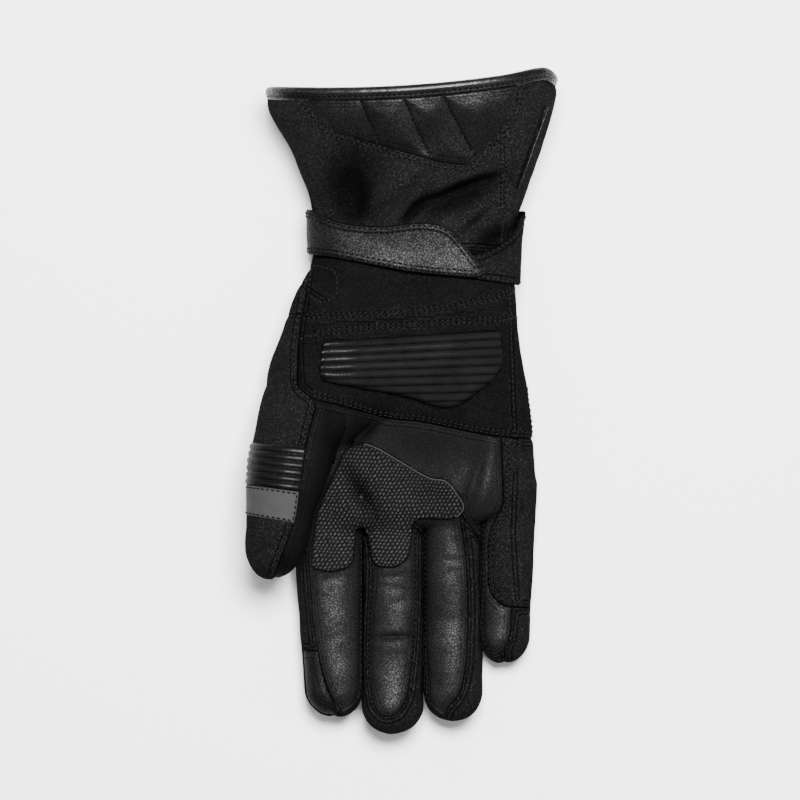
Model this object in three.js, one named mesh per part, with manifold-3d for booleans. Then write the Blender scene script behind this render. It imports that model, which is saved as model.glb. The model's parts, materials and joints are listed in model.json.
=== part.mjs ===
// A summer motorcycle glove for the right hand, lying on its back with the palm up.
// Millimetres: +X is the little finger's side, +Y the cuff, +Z the palm, and Z = 0 the surface it lies on.
// Every wall is the space between a tube and the same tube drawn smaller. Outlines on the palm cut the walls
// into the pieces that a glove is sewn from, and patches and straps are thin skins over them.

import * as THREE from "three";
import { mergeVertices } from "three/addons/utils/BufferGeometryUtils.js";
import Module from "manifold-3d";

const wasm = await Module();
wasm.setup();

// Driving dimensions.
const WALL = 2.0; // leather or softshell together with its lining
const PATCH = 1.3; // one more layer sewn on top
const PIPING = 2.0; // the cord in the side seam of the cuff
const SLIDER = 4.2; // the ribbed pad on the heel of the hand
const STRAP = 1.7; // the wrist strap, and the band that it closes on
const ROLL = 1.1; // how far the binding of the mouth stands out from the wall on each side
const BINDING = 6; // width of that binding along the cuff
const SEAM = 0.3; // gap between neighbouring pieces
const STRAP_Y = 66; // where the cuff meets the hand, under the wrist strap
const MOUTH_Y = 136.6;
const FINGER_ROOT_Y = -34;
const FINGER_SPLIT_Y = -44; // from here to the tips, strips between the fingers part front from back
const FOURCHETTE = 5; // half the height of those strips
const THUMB_CROTCH_Y = -24;
const THUMB_FLOOR = 24; // height of the inner side of the thumb's wall past that crotch
const FAR = 200; // past every part of the glove

// The middle of the glove's box, which is set over the part's origin at the end.
const MIDDLE = { x: 0.7, y: 0.95 };

// Sections of the hand and its flared cuff, from the knuckles to the mouth. A section lies across Y and bends
// towards the cuff by bow times the squared distance from BOW_X.
const BOW_X = -25;
const HAND = [
  { y: -58, bow: 0.0012, left: -42.5, right: 60.0, low: -1.5, high: 25.5 },
  { y: -45, bow: 0.0008, left: -45.5, right: 59.6, low: -2.0, high: 28.5 },
  { y: -25, bow: 0.0, left: -48.0, right: 58.6, low: -2.5, high: 32.0 },
  { y: -5, bow: 0.0, left: -57.0, right: 56.8, low: -2.5, high: 36.0 },
  { y: 12, bow: 0.0, left: -57.0, right: 54.3, low: -2.5, high: 39.0 },
  { y: 30, bow: 0.0, left: -51.0, right: 51.5, low: -1.5, high: 39.0 },
  { y: 46, bow: 0.0, left: -45.6, right: 50.7, low: 2.0, high: 37.5 },
  { y: 60, bow: 0.0, left: -38.4, right: 49.2, low: 5.2, high: 36.0 },
  { y: 76, bow: 0.0, left: -37.5, right: 50.0, low: 5.2, high: 36.5 },
  { y: 90, bow: 0.0, left: -39.0, right: 54.8, low: 3.0, high: 41.0 },
  { y: 100, bow: 0.0001, left: -43.0, right: 58.4, low: 0.8, high: 45.0 },
  { y: 110, bow: 0.0003, left: -46.8, right: 62.3, low: -1.5, high: 49.0 },
  { y: 127, bow: 0.0008, left: -56.6, right: 68.2, low: 0.3, high: 56.0 },
  { y: MOUTH_Y, bow: 0.0011, left: -57.5, right: 68.3, low: 1.6, high: 59.0 },
];

// Fingers, each straight in plan and curled up towards the palm by lift at its tip.
const FINGER_LOW = -1.2; // underside of a finger at its root, before it is flattened on the surface
const TAPER = 5.5; // how much thinner a finger is at its tip
const FINGERS = [
  { name: "index", x: -32.0, wide: 30.8, thick: 24, tipX: -28.6, tipWide: 23.8, tipY: -138.8, lift: 8 },
  { name: "middle", x: -2.9, wide: 26.0, thick: 25, tipX: -3.0, tipWide: 25.0, tipY: -145.2, lift: 10 },
  { name: "ring", x: 23.3, wide: 24.2, thick: 24, tipX: 23.5, tipWide: 24.2, tipY: -139.9, lift: 8 },
  { name: "little", x: 48.6, wide: 23.8, thick: 22, tipX: 46.1, tipWide: 20.2, tipY: -115.2, lift: 5 },
];

// Sections of the thumb, from its tip to inside the ball of the hand.
const THUMB = [
  { y: -77.4, left: -65.5, right: -46.0, low: 30.5, high: 47.5 },
  { y: -68, left: -66.2, right: -43.0, low: 29.0, high: 50.0 },
  { y: -57, left: -66.4, right: -39.4, low: 27.5, high: 51.5 },
  { y: -46, left: -66.4, right: -36.4, low: 25.5, high: 52.0 },
  { y: -35, left: -65.4, right: -32.8, low: 23.0, high: 51.0 },
  { y: -24, left: -64.3, right: -29.3, low: 19.5, high: 49.0 },
  { y: -10, left: -61.8, right: -25.5, low: 13.0, high: 45.0 },
  { y: 4, left: -58.5, right: -23.0, low: 8.0, high: 40.0 },
  { y: 16, left: -52.0, right: -24.0, low: 6.0, high: 34.0 },
];

// Sections of the loop that the wrist strap and its band make. It stands off the hand at the right.
const WRIST = [
  { y: 48, left: -43.0, right: 51.6, low: 0.6, high: 38.6 },
  { y: 62, left: -37.4, right: 52.3, low: 3.9, high: 37.2 },
  { y: 74, left: -37.0, right: 53.0, low: 4.1, high: 37.5 },
  { y: 92, left: -38.4, right: 55.8, low: 2.9, high: 42.6 },
];

// Height of the side seam between palm and back, along the glove.
const SIDE_SEAM = [
  { y: -160, z: 21 },
  { y: -130, z: 17.5 },
  { y: -95, z: 12.5 },
  { y: -57, z: 11.5 },
  { y: 0, z: 14 },
  { y: 60, z: 20.5 },
  { y: 100, z: 23 },
  { y: 160, z: 30 },
];

// Dents and folds of the palm side: an oval valley of the given half sizes, turned about Z. A ridge has a
// depth below zero.
const FOLDS = [
  { name: "hollow above the strap", x: -18, y: 94, long: 15, wide: 10, turn: 12, depth: 6 },
  { name: "fold running up to the right", x: 24, y: 94, long: 22, wide: 7, turn: 27, depth: 4 },
  { name: "ridge between them", x: 4, y: 98, long: 16, wide: 7, turn: 40, depth: -3 },
  { name: "cup of the palm", x: 12, y: -22, long: 26, wide: 15, turn: -12, depth: 4.5 },
  { name: "crease at the ball of the thumb", x: -17, y: -13, long: 12, wide: 6, turn: 52, depth: 4.5 },
];

// Seams and patches in plan, corner by corner. The line is rounded off from round before a corner to as far
// after it.
const THUMB_SIDE = [
  { x: -38, y: STRAP_Y, round: 0 },
  { x: -45, y: 26, round: 8 },
  { x: -44.5, y: 6, round: 4 },
  { x: -36, y: 0, round: 3 },
  { x: -41.1, y: -19.8, round: 8 },
  { x: -45.8, y: -53.5, round: 8 },
  { x: -54.3, y: -75.3, round: 5 },
  { x: -56, y: -90, round: 0 },
  { x: -90, y: -90, round: 0 },
  { x: -90, y: STRAP_Y, round: 0 },
];
const HEEL = [
  { x: -60, y: 2, round: 0 },
  { x: -36, y: 1, round: 8 },
  { x: -5, y: -8, round: 6 },
  { x: 8, y: -8.8, round: 6 },
  { x: 41.8, y: -15.8, round: 10 },
  { x: 80, y: -18, round: 0 },
  { x: 80, y: STRAP_Y, round: 0 },
  { x: -60, y: STRAP_Y, round: 0 },
];
const GRIP = [
  { x: -23.8, y: -20.5, round: 4 },
  { x: -13.5, y: -17.8, round: 6 },
  { x: 13.2, y: -34.0, round: 8 },
  { x: 21.2, y: -34.0, round: 5 },
  { x: 29.4, y: -46.2, round: 4 },
  { x: 24.0, y: -52.0, round: 4 },
  { x: 6.2, y: -51.0, round: 5 },
  { x: 4.2, y: -69.0, round: 6 },
  { x: -1.0, y: -73.4, round: 3 },
  { x: -11.2, y: -73.0, round: 4 },
  { x: -14.2, y: -55.0, round: 4 },
  { x: -19.2, y: -55.0, round: 4 },
  { x: -21.0, y: -73.5, round: 5 },
  { x: -32.0, y: -75.6, round: 6 },
  { x: -38.8, y: -73.2, round: 2 },
  { x: -36.5, y: -49.5, round: 8 },
];
const SLIDER_PAD = [
  { x: -33.2, y: 25.8, round: 3 },
  { x: 43.1, y: 30.9, round: 2 },
  { x: 45.4, y: 13.0, round: 8 },
  { x: 25.3, y: -2.8, round: 7 },
  { x: 15.6, y: -2.2, round: 6 },
  { x: 3.0, y: 2.4, round: 6 },
  { x: -34.8, y: 9.0, round: 4 },
];
const CUFF_PANEL = [
  { x: -39.6, y: 130.6, round: 0 },
  { x: -30.6, y: 119, round: 5 },
  { x: 15.4, y: 104.8, round: 6 },
  { x: 30.2, y: 103.2, round: 3 },
  { x: 49.6, y: 126, round: 5 },
  { x: 51, y: 133.6, round: 0 },
  { x: 25, y: 131.4, round: 10 },
  { x: -14, y: 130.4, round: 10 },
];
const SIDE_PATCH = [
  { x: 44.9, y: -22, round: 3 },
  { x: 46, y: -46, round: 4 },
  { x: 38.9, y: -58, round: 5 },
  { x: 38.9, y: -84, round: 5 },
  { x: 45.9, y: -90.6, round: 4 },
  { x: 80, y: -91.4, round: 0 },
  { x: 80, y: -20, round: 0 },
];
const CUFF_PIPING = [
  { x: 62.6, y: 130, round: 0 },
  { x: 66.0, y: 130, round: 0 },
  { x: 59.6, y: 112, round: 0 },
  { x: 53.0, y: 93, round: 0 },
  { x: 49.4, y: 93, round: 0 },
  { x: 56.0, y: 112, round: 0 },
];
const STRAP_FRONT = [
  { x: -60, y: 86.0, round: 0 },
  { x: -38, y: 85.2, round: 4 },
  { x: -26, y: 78.6, round: 8 },
  { x: -8, y: 76.6, round: 8 },
  { x: 10, y: 79.4, round: 8 },
  { x: 22, y: 77.0, round: 8 },
  { x: 37.4, y: 56.0, round: 3 },
  { x: 33, y: 53.6, round: 3 },
  { x: 6, y: 55.6, round: 9 },
  { x: -34, y: 64.0, round: 6 },
  { x: -60, y: 65.2, round: 0 },
];
const BAND_FRONT = [
  { x: -12, y: 76, round: 0 },
  { x: 12, y: 74.5, round: 0 },
  { x: 32, y: 62.5, round: 8 },
  { x: 49, y: 72, round: 8 },
  { x: 54.5, y: 83, round: 2 },
  { x: 80, y: 84, round: 0 },
  { x: 80, y: 50.6, round: 0 },
  { x: 50, y: 51, round: 5 },
  { x: -12, y: 59.5, round: 0 },
];

// The same two where they lie under the wrist.
const STRAP_BACK = [
  { x: -60, y: 86.0, round: 0 },
  { x: -30, y: 84.0, round: 8 },
  { x: 8, y: 83.0, round: 0 },
  { x: 8, y: 61.5, round: 0 },
  { x: -30, y: 64.0, round: 8 },
  { x: -60, y: 65.2, round: 0 },
];
const BAND_BACK = [
  { x: -15, y: 83.0, round: 0 },
  { x: 80, y: 84.0, round: 0 },
  { x: 80, y: 50.6, round: 0 },
  { x: 46, y: 51.6, round: 8 },
  { x: 22, y: 61.0, round: 8 },
  { x: -15, y: 61.5, round: 0 },
];

// Lines across the thumb: the ribs lie between the first two, and the reflective tape between the last two.
const THUMB_LINES = [
  { leftY: -16, rightX: -41.6, rightY: -20.5 },
  { leftY: -33.4, rightX: -44.2, rightY: -39.2 },
  { leftY: -45.6, rightX: -46.0, rightY: -53.0 },
];
const LEFT_X = -90;
const THUMB_RIBS = 6;

// The first and the last line of the ribs on the pad of the heel.
const SLIDER_RIBS = 8;
const SLIDER_LINES = [
  { left: { x: -36, y: 26 }, right: { x: 47, y: 31.2 } },
  { left: { x: -36, y: -3 }, right: { x: 47, y: -3 } },
];

// Ribs of both.
const RIB_DEPTH = 0.9;
const RIB_SLOT = 0.25; // share of a rib's pitch that its groove takes

const union = (solids) => solids.reduce((all, one) => all.add(one));
const lerp = THREE.MathUtils.lerp;
const radians = THREE.MathUtils.degToRad;

function solid(geometry) {
  geometry.deleteAttribute("normal");
  geometry.deleteAttribute("uv");
  const merged = mergeVertices(geometry, 1e-4);
  return new wasm.Manifold(
    new wasm.Mesh({
      numProp: 3,
      vertProperties: new Float32Array(merged.attributes.position.array),
      triVerts: new Uint32Array(merged.index.array),
    }),
  );
}

// A named column of a table at y, by a smooth curve through its rows.
function column(rows, key, y) {
  const last = rows.length - 1;
  const next = rows.findIndex((row) => row.y >= y);
  const i = next < 0 ? last : Math.max(next, 1);
  const at = (k) => rows[Math.min(Math.max(k, 0), last)];
  const [a, b] = [at(i - 1), at(i)];
  const run = b.y - a.y;
  const t = (y - a.y) / run;
  if (t <= 0 || t >= 1) return lerp(a[key], b[key], t);
  const slope = (k) => (at(k + 1)[key] - at(k - 1)[key]) / (at(k + 1).y - at(k - 1).y);
  const ease = t * t * (3 - 2 * t);
  const leave = slope(i - 1) * run * t * (1 - t) * (1 - t);
  const arrive = slope(i) * run * t * t * (t - 1);
  return lerp(a[key], b[key], ease) + leave + arrive;
}

const sectionOf = (rows) => {
  const keys = Object.keys(rows[0]).filter((key) => key !== "y");
  return (y) => Object.fromEntries(keys.map((key) => [key, column(rows, key, y)]));
};

function fingerSection(finger) {
  return (y) => {
    const t = (FINGER_ROOT_Y - y) / (FINGER_ROOT_Y - finger.tipY);
    const [x, wide] = [lerp(finger.x, finger.tipX, t), lerp(finger.wide, finger.tipWide, t)];
    const low = FINGER_LOW + finger.lift * t * t;
    return { left: x - wide / 2, right: x + wide / 2, low, high: low + finger.thick - TAPER * t };
  };
}

const foldDepth = (x, y) =>
  FOLDS.reduce((sum, fold) => {
    const turn = radians(fold.turn);
    const [dx, dy] = [x - fold.x, y - fold.y];
    const along = (dx * Math.cos(turn) + dy * Math.sin(turn)) / fold.long;
    const across = (dy * Math.cos(turn) - dx * Math.sin(turn)) / fold.wide;
    return sum + fold.depth * Math.exp(-(along * along + across * across));
  }, 0);

// A closed tube through the sections at the given lines across Y, drawn smaller by inset. A dome rounds off
// its end at the last line.
function tube(section, lines, { from = lines[0], sides, square, dome = 0, inset = 0, folds = false }) {
  const to = lines.at(-1);
  const cap = dome ? Math.max(dome - inset, 0.5) : 0;
  const domeY = to + inset + cap;
  const inner = lines.filter((y) => y < from - 1 && y > domeY + 1);
  const stations = [from, ...inner, domeY].map((y) => ({ y, share: 1 }));
  for (const turn of dome ? [35, 70] : []) {
    stations.push({ y: domeY - cap * Math.sin(radians(turn)), share: Math.cos(radians(turn)) });
  }
  const rings = stations.map(({ y, share }) => {
    const { left, right, low, high, bow = 0 } = section(Math.max(y, to));
    const [halfWide, halfHigh] = [((right - left) / 2 - inset) * share, ((high - low) / 2 - inset) * share];
    const ring = [];
    for (let k = 0; k < sides; k++) {
      const angle = (k / sides) * 2 * Math.PI;
      const round = (value) => Math.sign(value) * Math.abs(value) ** (2 / square);
      const x = (left + right) / 2 + halfWide * round(Math.cos(angle));
      const dent = folds ? Math.max(0, Math.sin(angle)) * foldDepth(x, y) : 0;
      const z = (low + high) / 2 + halfHigh * round(Math.sin(angle)) - dent;
      ring.push(new THREE.Vector3(x, y + bow * (x - BOW_X) ** 2, z));
    }
    return ring;
  });
  const middle = (ring) => ring.reduce((sum, point) => sum.add(point), new THREE.Vector3());
  const ends = [rings[0], rings.at(-1)].map((ring) => middle(ring).divideScalar(sides));
  const points = [...rings.flat(), ...ends];
  const openCentre = rings.length * sides;
  const tipCentre = openCentre + 1;
  const tipRing = openCentre - sides;
  const faces = [];
  for (let k = 0; k < sides; k++) {
    const next = (k + 1) % sides;
    faces.push(openCentre, next, k, tipCentre, tipRing + k, tipRing + next);
    for (let first = 0; first < tipRing; first += sides) {
      const [a, b] = [first + k, first + next];
      faces.push(a, b, a + sides, b, b + sides, a + sides);
    }
  }
  const geometry = new THREE.BufferGeometry().setFromPoints(points);
  geometry.setIndex(faces);
  return solid(geometry);
}

// The bodies that the glove is made of, each at any inset. A negative inset is a skin outside the wall.
const linesOf = (rows) => rows.map((row) => row.y).reverse();
const handTube = (inset, options = {}) =>
  tube(sectionOf(HAND), linesOf(HAND), { sides: 26, square: 2.3, dome: 9, folds: true, inset, ...options });
const fingerTube = (finger, inset) => {
  const lines = [0, 0.3, 0.6, 1].map((t) => lerp(FINGER_ROOT_Y, finger.tipY, t));
  return tube(fingerSection(finger), lines, { sides: 12, square: 2.25, dome: 12, inset });
};
const thumbTube = (inset) =>
  tube(sectionOf(THUMB), linesOf(THUMB), { sides: 12, square: 2.15, dome: 13, inset });
const wristTube = (inset) => tube(sectionOf(WRIST), linesOf(WRIST), { sides: 20, square: 2.3, inset });
const bodyOf = (inset) => union([handTube(inset), ...FINGERS.map((finger) => fingerTube(finger, inset))]);
const skin = (body, near, far) => body(-far).subtract(body(-near));

// Corners in plan as a closed shape.
function rounded(corners, dx = 0, dy = 0) {
  const shape = new THREE.Shape();
  const at = (i) => corners[(i + corners.length) % corners.length];
  const from = (corner, other) => {
    const reach = Math.min(corner.round / Math.hypot(other.x - corner.x, other.y - corner.y), 0.45);
    return [lerp(corner.x, other.x, reach) + dx, lerp(corner.y, other.y, reach) + dy];
  };
  corners.forEach((corner, i) => {
    const [start, end] = [from(corner, at(i - 1)), from(corner, at(i + 1))];
    if (i === 0) shape.moveTo(...start);
    else shape.lineTo(...start);
    if (corner.round) shape.quadraticCurveTo(corner.x + dx, corner.y + dy, ...end);
  });
  return shape;
}

function prism(shape, z0 = -FAR, z1 = FAR) {
  const options = { depth: z1 - z0, bevelEnabled: false, curveSegments: 2 };
  return solid(new THREE.ExtrudeGeometry(shape, options).translate(0, 0, z0));
}

const polygon = (points) => new THREE.Shape(points.map(([x, y]) => new THREE.Vector2(x, y)));
const block = (x0, x1, y0, y1, z0, z1) => prism(polygon([[x0, y0], [x1, y0], [x1, y1], [x0, y1]]), z0, z1);
const between = (y0, y1) => block(-FAR, FAR, y0, y1, -FAR, FAR);
const above = (z) => block(-FAR, FAR, -FAR, FAR, z, FAR);

// Everything above the side seam, raised by shift.
function aboveSeam(shift) {
  const profile = SIDE_SEAM.map(({ y, z }) => [y, z + shift]);
  profile.push([SIDE_SEAM.at(-1).y, FAR], [SIDE_SEAM[0].y, FAR]);
  const geometry = new THREE.ExtrudeGeometry(polygon(profile), { depth: 2 * FAR, bevelEnabled: false });
  geometry.translate(0, 0, -FAR);
  const axes = [new THREE.Vector3(0, 1, 0), new THREE.Vector3(0, 0, 1), new THREE.Vector3(1, 0, 0)];
  return solid(geometry.applyMatrix4(new THREE.Matrix4().makeBasis(...axes)));
}

// The slots between ribs that fill the stretch between a first and a last line.
function slots(first, last, ribs) {
  const mix = (t, end) => [lerp(first[end].x, last[end].x, t), lerp(first[end].y, last[end].y, t)];
  const bars = [];
  for (let i = 1; i < ribs; i++) {
    const [t0, t1] = [(i - RIB_SLOT / 2) / ribs, (i + RIB_SLOT / 2) / ribs];
    bars.push(prism(polygon([mix(t0, "left"), mix(t1, "left"), mix(t1, "right"), mix(t0, "right")])));
  }
  return union(bars);
}

const ground = above(0);
const hand = bodyOf(0).intersect(ground);
const thumb = thumbTube(0);
const past = { from: MOUTH_Y + 15 };
const fingerHollows = FINGERS.map((finger) => fingerTube(finger, WALL));
const hollow = union([handTube(WALL, past), ...fingerHollows, thumbTube(WALL)]).intersect(above(WALL));
const handWalls = hand.subtract(hollow);
const palmSide = aboveSeam(SEAM / 2);
const backSide = aboveSeam(-SEAM / 2);
const handPart = between(-FAR, STRAP_Y - SEAM);
const fingerPart = between(-FAR, FINGER_SPLIT_Y);
const thumbSide = prism(rounded(THUMB_SIDE));
const pastThumbSeam = prism(rounded(THUMB_SIDE, SEAM));
const rim = (back) => handTube(-10, { from: MOUTH_Y - back, folds: false });

const colours = {
  softshell: { color: 0x1b1b1c, roughness: 0.95 },
  suede: { color: 0x161617, roughness: 0.85 },
  leather: { color: 0x1e1e1f, roughness: 0.45 },
  knit: { color: 0x121213, roughness: 0.7 },
  rubber: { color: 0x181819, roughness: 0.4 },
  reflective: { color: 0x5c5c5d, roughness: 0.6 },
};
const sewn = new THREE.Group();
sewn.position.set(-MIDDLE.x, -MIDDLE.y, 0);

// A named piece from the largest body of a solid, because cutting thin walls can leave slivers beside it.
function piece(name, material, whole) {
  const body = whole.decompose().reduce((a, b) => (a.volume() > b.volume() ? a : b));
  const { vertProperties, numProp, triVerts } = body.getMesh();
  const geometry = new THREE.BufferGeometry();
  const vertices = new THREE.InterleavedBuffer(vertProperties, numProp);
  geometry.setAttribute("position", new THREE.InterleavedBufferAttribute(vertices, 3, 0));
  geometry.setIndex(new THREE.BufferAttribute(new Uint32Array(triVerts), 1));
  const mesh = new THREE.Mesh(geometry, new THREE.MeshStandardMaterial(colours[material]));
  mesh.name = name;
  sewn.add(mesh);
}

function makeHand() {
  const belowCrotch = block(-FAR, FAR, -FAR, THUMB_CROTCH_Y, -FAR, THUMB_FLOOR);
  const fronts = aboveSeam(FOURCHETTE + SEAM).intersect(fingerPart);
  const palm = palmSide.intersect(handPart).subtract(fingerPart.subtract(fronts));
  const thumbWalls = hand.add(thumb).subtract(hollow).intersect(palmSide).intersect(handPart);
  piece("thumb_back", "softshell", thumbWalls.intersect(thumbSide).subtract(belowCrotch));
  const front = thumb.subtract(hollow).subtract(bodyOf(-SEAM)).subtract(pastThumbSeam);
  piece("thumb_front", "leather", front);
  const palmWalls = handWalls.intersect(palm).subtract(pastThumbSeam.subtract(belowCrotch));
  piece("heel_panel", "suede", palmWalls.intersect(prism(rounded(HEEL))));
  piece("palm_leather", "leather", palmWalls.subtract(prism(rounded(HEEL, 0, -SEAM))));
}

function makeBack() {
  const strips = fingerPart.intersect(aboveSeam(-FOURCHETTE + SEAM)).subtract(aboveSeam(FOURCHETTE));
  for (let i = 0; i + 1 < FINGERS.length; i++) {
    const [a, b] = [FINGERS[i], FINGERS[i + 1]];
    const [left, right] = [[a.tipX + SEAM, -FAR], [b.tipX - SEAM, -FAR]];
    const gusset = prism(polygon([[a.x + SEAM, FINGER_SPLIT_Y], left, right, [b.x - SEAM, FINGER_SPLIT_Y]]));
    piece(`fourchette_${a.name}_${b.name}`, "softshell", handWalls.intersect(strips).intersect(gusset));
  }
  const [first, last] = [FINGERS[0], FINGERS.at(-1)];
  const splitY = FINGER_SPLIT_Y + SEAM;
  const tips = [[first.tipX, -FAR], [last.tipX, -FAR]];
  const inner = prism(polygon([[first.x, splitY], ...tips, [last.x, splitY]]));
  const taken = union([
    aboveSeam(-FOURCHETTE).intersect(inner),
    aboveSeam(FOURCHETTE).intersect(fingerPart),
    backSide.subtract(fingerPart),
  ]);
  piece("hand_back", "softshell", handWalls.intersect(handPart).subtract(taken));
}

function makeCuff() {
  const walls = handWalls.intersect(between(STRAP_Y, FAR)).intersect(rim(BINDING + SEAM));
  piece("cuff_palm", "softshell", walls.intersect(palmSide));
  piece("cuff_back", "softshell", walls.subtract(backSide));
  const ring = handTube(-ROLL).subtract(handTube(WALL + ROLL, past));
  piece("cuff_binding", "leather", ring.subtract(rim(BINDING)).intersect(ground));
}

function makePatches() {
  const patch = skin(bodyOf, SEAM, SEAM + PATCH).intersect(palmSide).subtract(thumbTube(-2 * SEAM - PATCH));
  piece("grip_patch", "knit", patch.intersect(prism(rounded(GRIP))));
  piece("cuff_panel", "leather", patch.intersect(prism(rounded(CUFF_PANEL))));
  const side = patch.intersect(prism(rounded(SIDE_PATCH))).intersect(aboveSeam(FOURCHETTE + SEAM));
  piece("side_patch", "softshell", side);
  const cord = skin(handTube, SEAM, PIPING).intersect(aboveSeam(8));
  piece("cuff_piping", "leather", cord.intersect(prism(rounded(CUFF_PIPING))));
}

function makeSlider() {
  const pad = skin(handTube, SEAM, SLIDER).intersect(palmSide).intersect(prism(rounded(SLIDER_PAD)));
  const cuts = slots(...SLIDER_LINES, SLIDER_RIBS).subtract(handTube(RIB_DEPTH - SLIDER));
  piece("palm_slider", "rubber", pad.subtract(cuts).subtract(thumbTube(-2 * SEAM)));
}

function makeThumbTrim() {
  const [start, end, tip] = THUMB_LINES.map(({ leftY, rightX, rightY }) => ({
    left: { x: LEFT_X, y: leftY },
    right: { x: rightX, y: rightY },
  }));
  const stretch = (a, b) => prism(polygon([a.left, a.right, b.right, b.left].map(({ x, y }) => [x, y])));
  const layer = skin(thumbTube, SEAM, SEAM + PATCH).intersect(thumbSide);
  const cuts = slots(start, end, THUMB_RIBS).subtract(thumbTube(RIB_DEPTH - PATCH));
  const ribbed = layer.intersect(stretch(start, end)).subtract(bodyOf(-SEAM));
  piece("thumb_ribs", "leather", ribbed.subtract(cuts));
  const below = ({ x, y }) => ({ x, y: y - SEAM });
  const belowRibs = { left: below(end.left), right: below(end.right) };
  piece("thumb_reflector", "reflective", layer.intersect(stretch(belowRibs, tip)));
}

// The strap comes round from the back at the left and closes on the band, which comes from the right.
function makeStraps() {
  const loop = (near, far, front, back) => {
    const across = prism(rounded(front)).intersect(aboveSeam(0));
    const behind = prism(rounded(back)).subtract(aboveSeam(0));
    return skin(wristTube, near, far).intersect(across.add(behind)).intersect(ground);
  };
  piece("wrist_band", "softshell", loop(0, STRAP, BAND_FRONT, BAND_BACK));
  piece("wrist_strap", "leather", loop(STRAP + SEAM, 2 * STRAP + SEAM, STRAP_FRONT, STRAP_BACK));
}

makeHand();
makeBack();
makeCuff();
makePatches();
makeSlider();
makeThumbTrim();
makeStraps();

const glove = new THREE.Group();
glove.add(sewn);
export default glove;
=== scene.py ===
# %% [markdown]
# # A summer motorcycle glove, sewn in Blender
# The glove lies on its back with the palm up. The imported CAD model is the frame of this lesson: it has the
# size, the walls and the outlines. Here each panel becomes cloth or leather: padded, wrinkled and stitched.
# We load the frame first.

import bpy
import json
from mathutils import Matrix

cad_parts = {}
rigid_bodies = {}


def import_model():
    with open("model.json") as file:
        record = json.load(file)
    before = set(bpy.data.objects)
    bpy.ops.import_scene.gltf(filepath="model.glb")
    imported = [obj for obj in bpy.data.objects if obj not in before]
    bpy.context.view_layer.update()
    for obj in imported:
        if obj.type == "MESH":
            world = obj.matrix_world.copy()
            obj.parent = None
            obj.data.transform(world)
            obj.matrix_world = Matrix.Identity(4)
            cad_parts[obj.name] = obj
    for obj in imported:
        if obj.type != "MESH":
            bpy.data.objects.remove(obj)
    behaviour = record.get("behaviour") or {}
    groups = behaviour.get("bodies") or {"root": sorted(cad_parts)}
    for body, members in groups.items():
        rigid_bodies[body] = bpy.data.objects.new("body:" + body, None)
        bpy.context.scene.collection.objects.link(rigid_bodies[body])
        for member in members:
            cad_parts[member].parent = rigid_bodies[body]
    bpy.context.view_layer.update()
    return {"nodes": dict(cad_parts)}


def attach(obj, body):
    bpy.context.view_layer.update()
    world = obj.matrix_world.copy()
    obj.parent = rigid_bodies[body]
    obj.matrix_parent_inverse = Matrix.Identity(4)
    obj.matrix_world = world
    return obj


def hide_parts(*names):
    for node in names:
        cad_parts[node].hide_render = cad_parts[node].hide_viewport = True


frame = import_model()
print("CAD nodes:", len(frame["nodes"]))

# %% [markdown]
# ## Tools
# numpy holds the points of a mesh as tables of numbers, which is much faster than a loop over vertices.
# A KD-tree finds the nearest of many points.

# %% Import the tools
import json
import math
from collections import namedtuple

import bpy
import numpy as np
from mathutils import Vector, noise
from mathutils.kdtree import KDTree

# %% [markdown]
# ## The camera
# The photograph looks straight down from far away, so there is almost no perspective. A long lens three
# metres above the glove does the same. Its picture is as wide as 352 mm of floor.

# %% Place the camera
PHOTO_SPAN = 0.352
CAMERA_HEIGHT = 3.0
PALM_HEIGHT = 0.02

lens = bpy.data.cameras.new("photo_camera")
lens.sensor_width = 36
lens.lens = lens.sensor_width * CAMERA_HEIGHT / PHOTO_SPAN
camera = bpy.data.objects.new("photo_camera", lens)
camera.location = (-0.0004, -0.0004, PALM_HEIGHT + CAMERA_HEIGHT)
bpy.context.scene.collection.objects.link(camera)
bpy.context.scene.camera = camera
print("lens", round(lens.lens), "mm")

# %% [markdown]
# ## The studio
# A product photograph of something black is lit with large soft lamps. One hangs over the palm and draws the
# broad sheen along the fingers, and two narrow ones at the sides put faint glints on raised edges. All three
# look at the middle of the glove. The floor is a plain pale sheet.

# %% Hang the lamps and lay the floor
LAMPS = [
    # name, place, width, depth, watts
    ("over_palm", (0.12, 0.4, 1.45), 0.55, 0.5, 112),
    ("left_strip", (-1.1, 0.5, 0.8), 0.2, 1.2, 5),
    ("right_strip", (1.2, -0.2, 0.8), 0.3, 1.2, 5),
]
SKY_STRENGTH = 0.35
FLOOR_REACH = 4.0


def hang_lamp(name, place, width, depth, watts):
    data = bpy.data.lights.new(name, "AREA")
    data.shape = "RECTANGLE"
    data.size = width
    data.size_y = depth
    data.energy = watts
    lamp = bpy.data.objects.new(name, data)
    lamp.location = place
    lamp.rotation_euler = (-Vector(place)).to_track_quat("-Z", "Y").to_euler()
    bpy.context.scene.collection.objects.link(lamp)


for lamp_row in LAMPS:
    hang_lamp(*lamp_row)

world = bpy.data.worlds.new("studio")
world.use_nodes = True
world.node_tree.nodes["Background"].inputs["Color"].default_value = (1, 1, 1, 1)
world.node_tree.nodes["Background"].inputs["Strength"].default_value = SKY_STRENGTH
bpy.context.scene.world = world


def lay_floor(size):
    mesh = bpy.data.meshes.new("floor")
    corners = [(-size, -size, 0), (size, -size, 0), (size, size, 0), (-size, size, 0)]
    mesh.from_pydata(corners, [], [(0, 1, 2, 3)])
    floor = bpy.data.objects.new("floor", mesh)
    bpy.context.scene.collection.objects.link(floor)
    return floor


floor = lay_floor(FLOOR_REACH)
print("lamps:", len(LAMPS))

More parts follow.
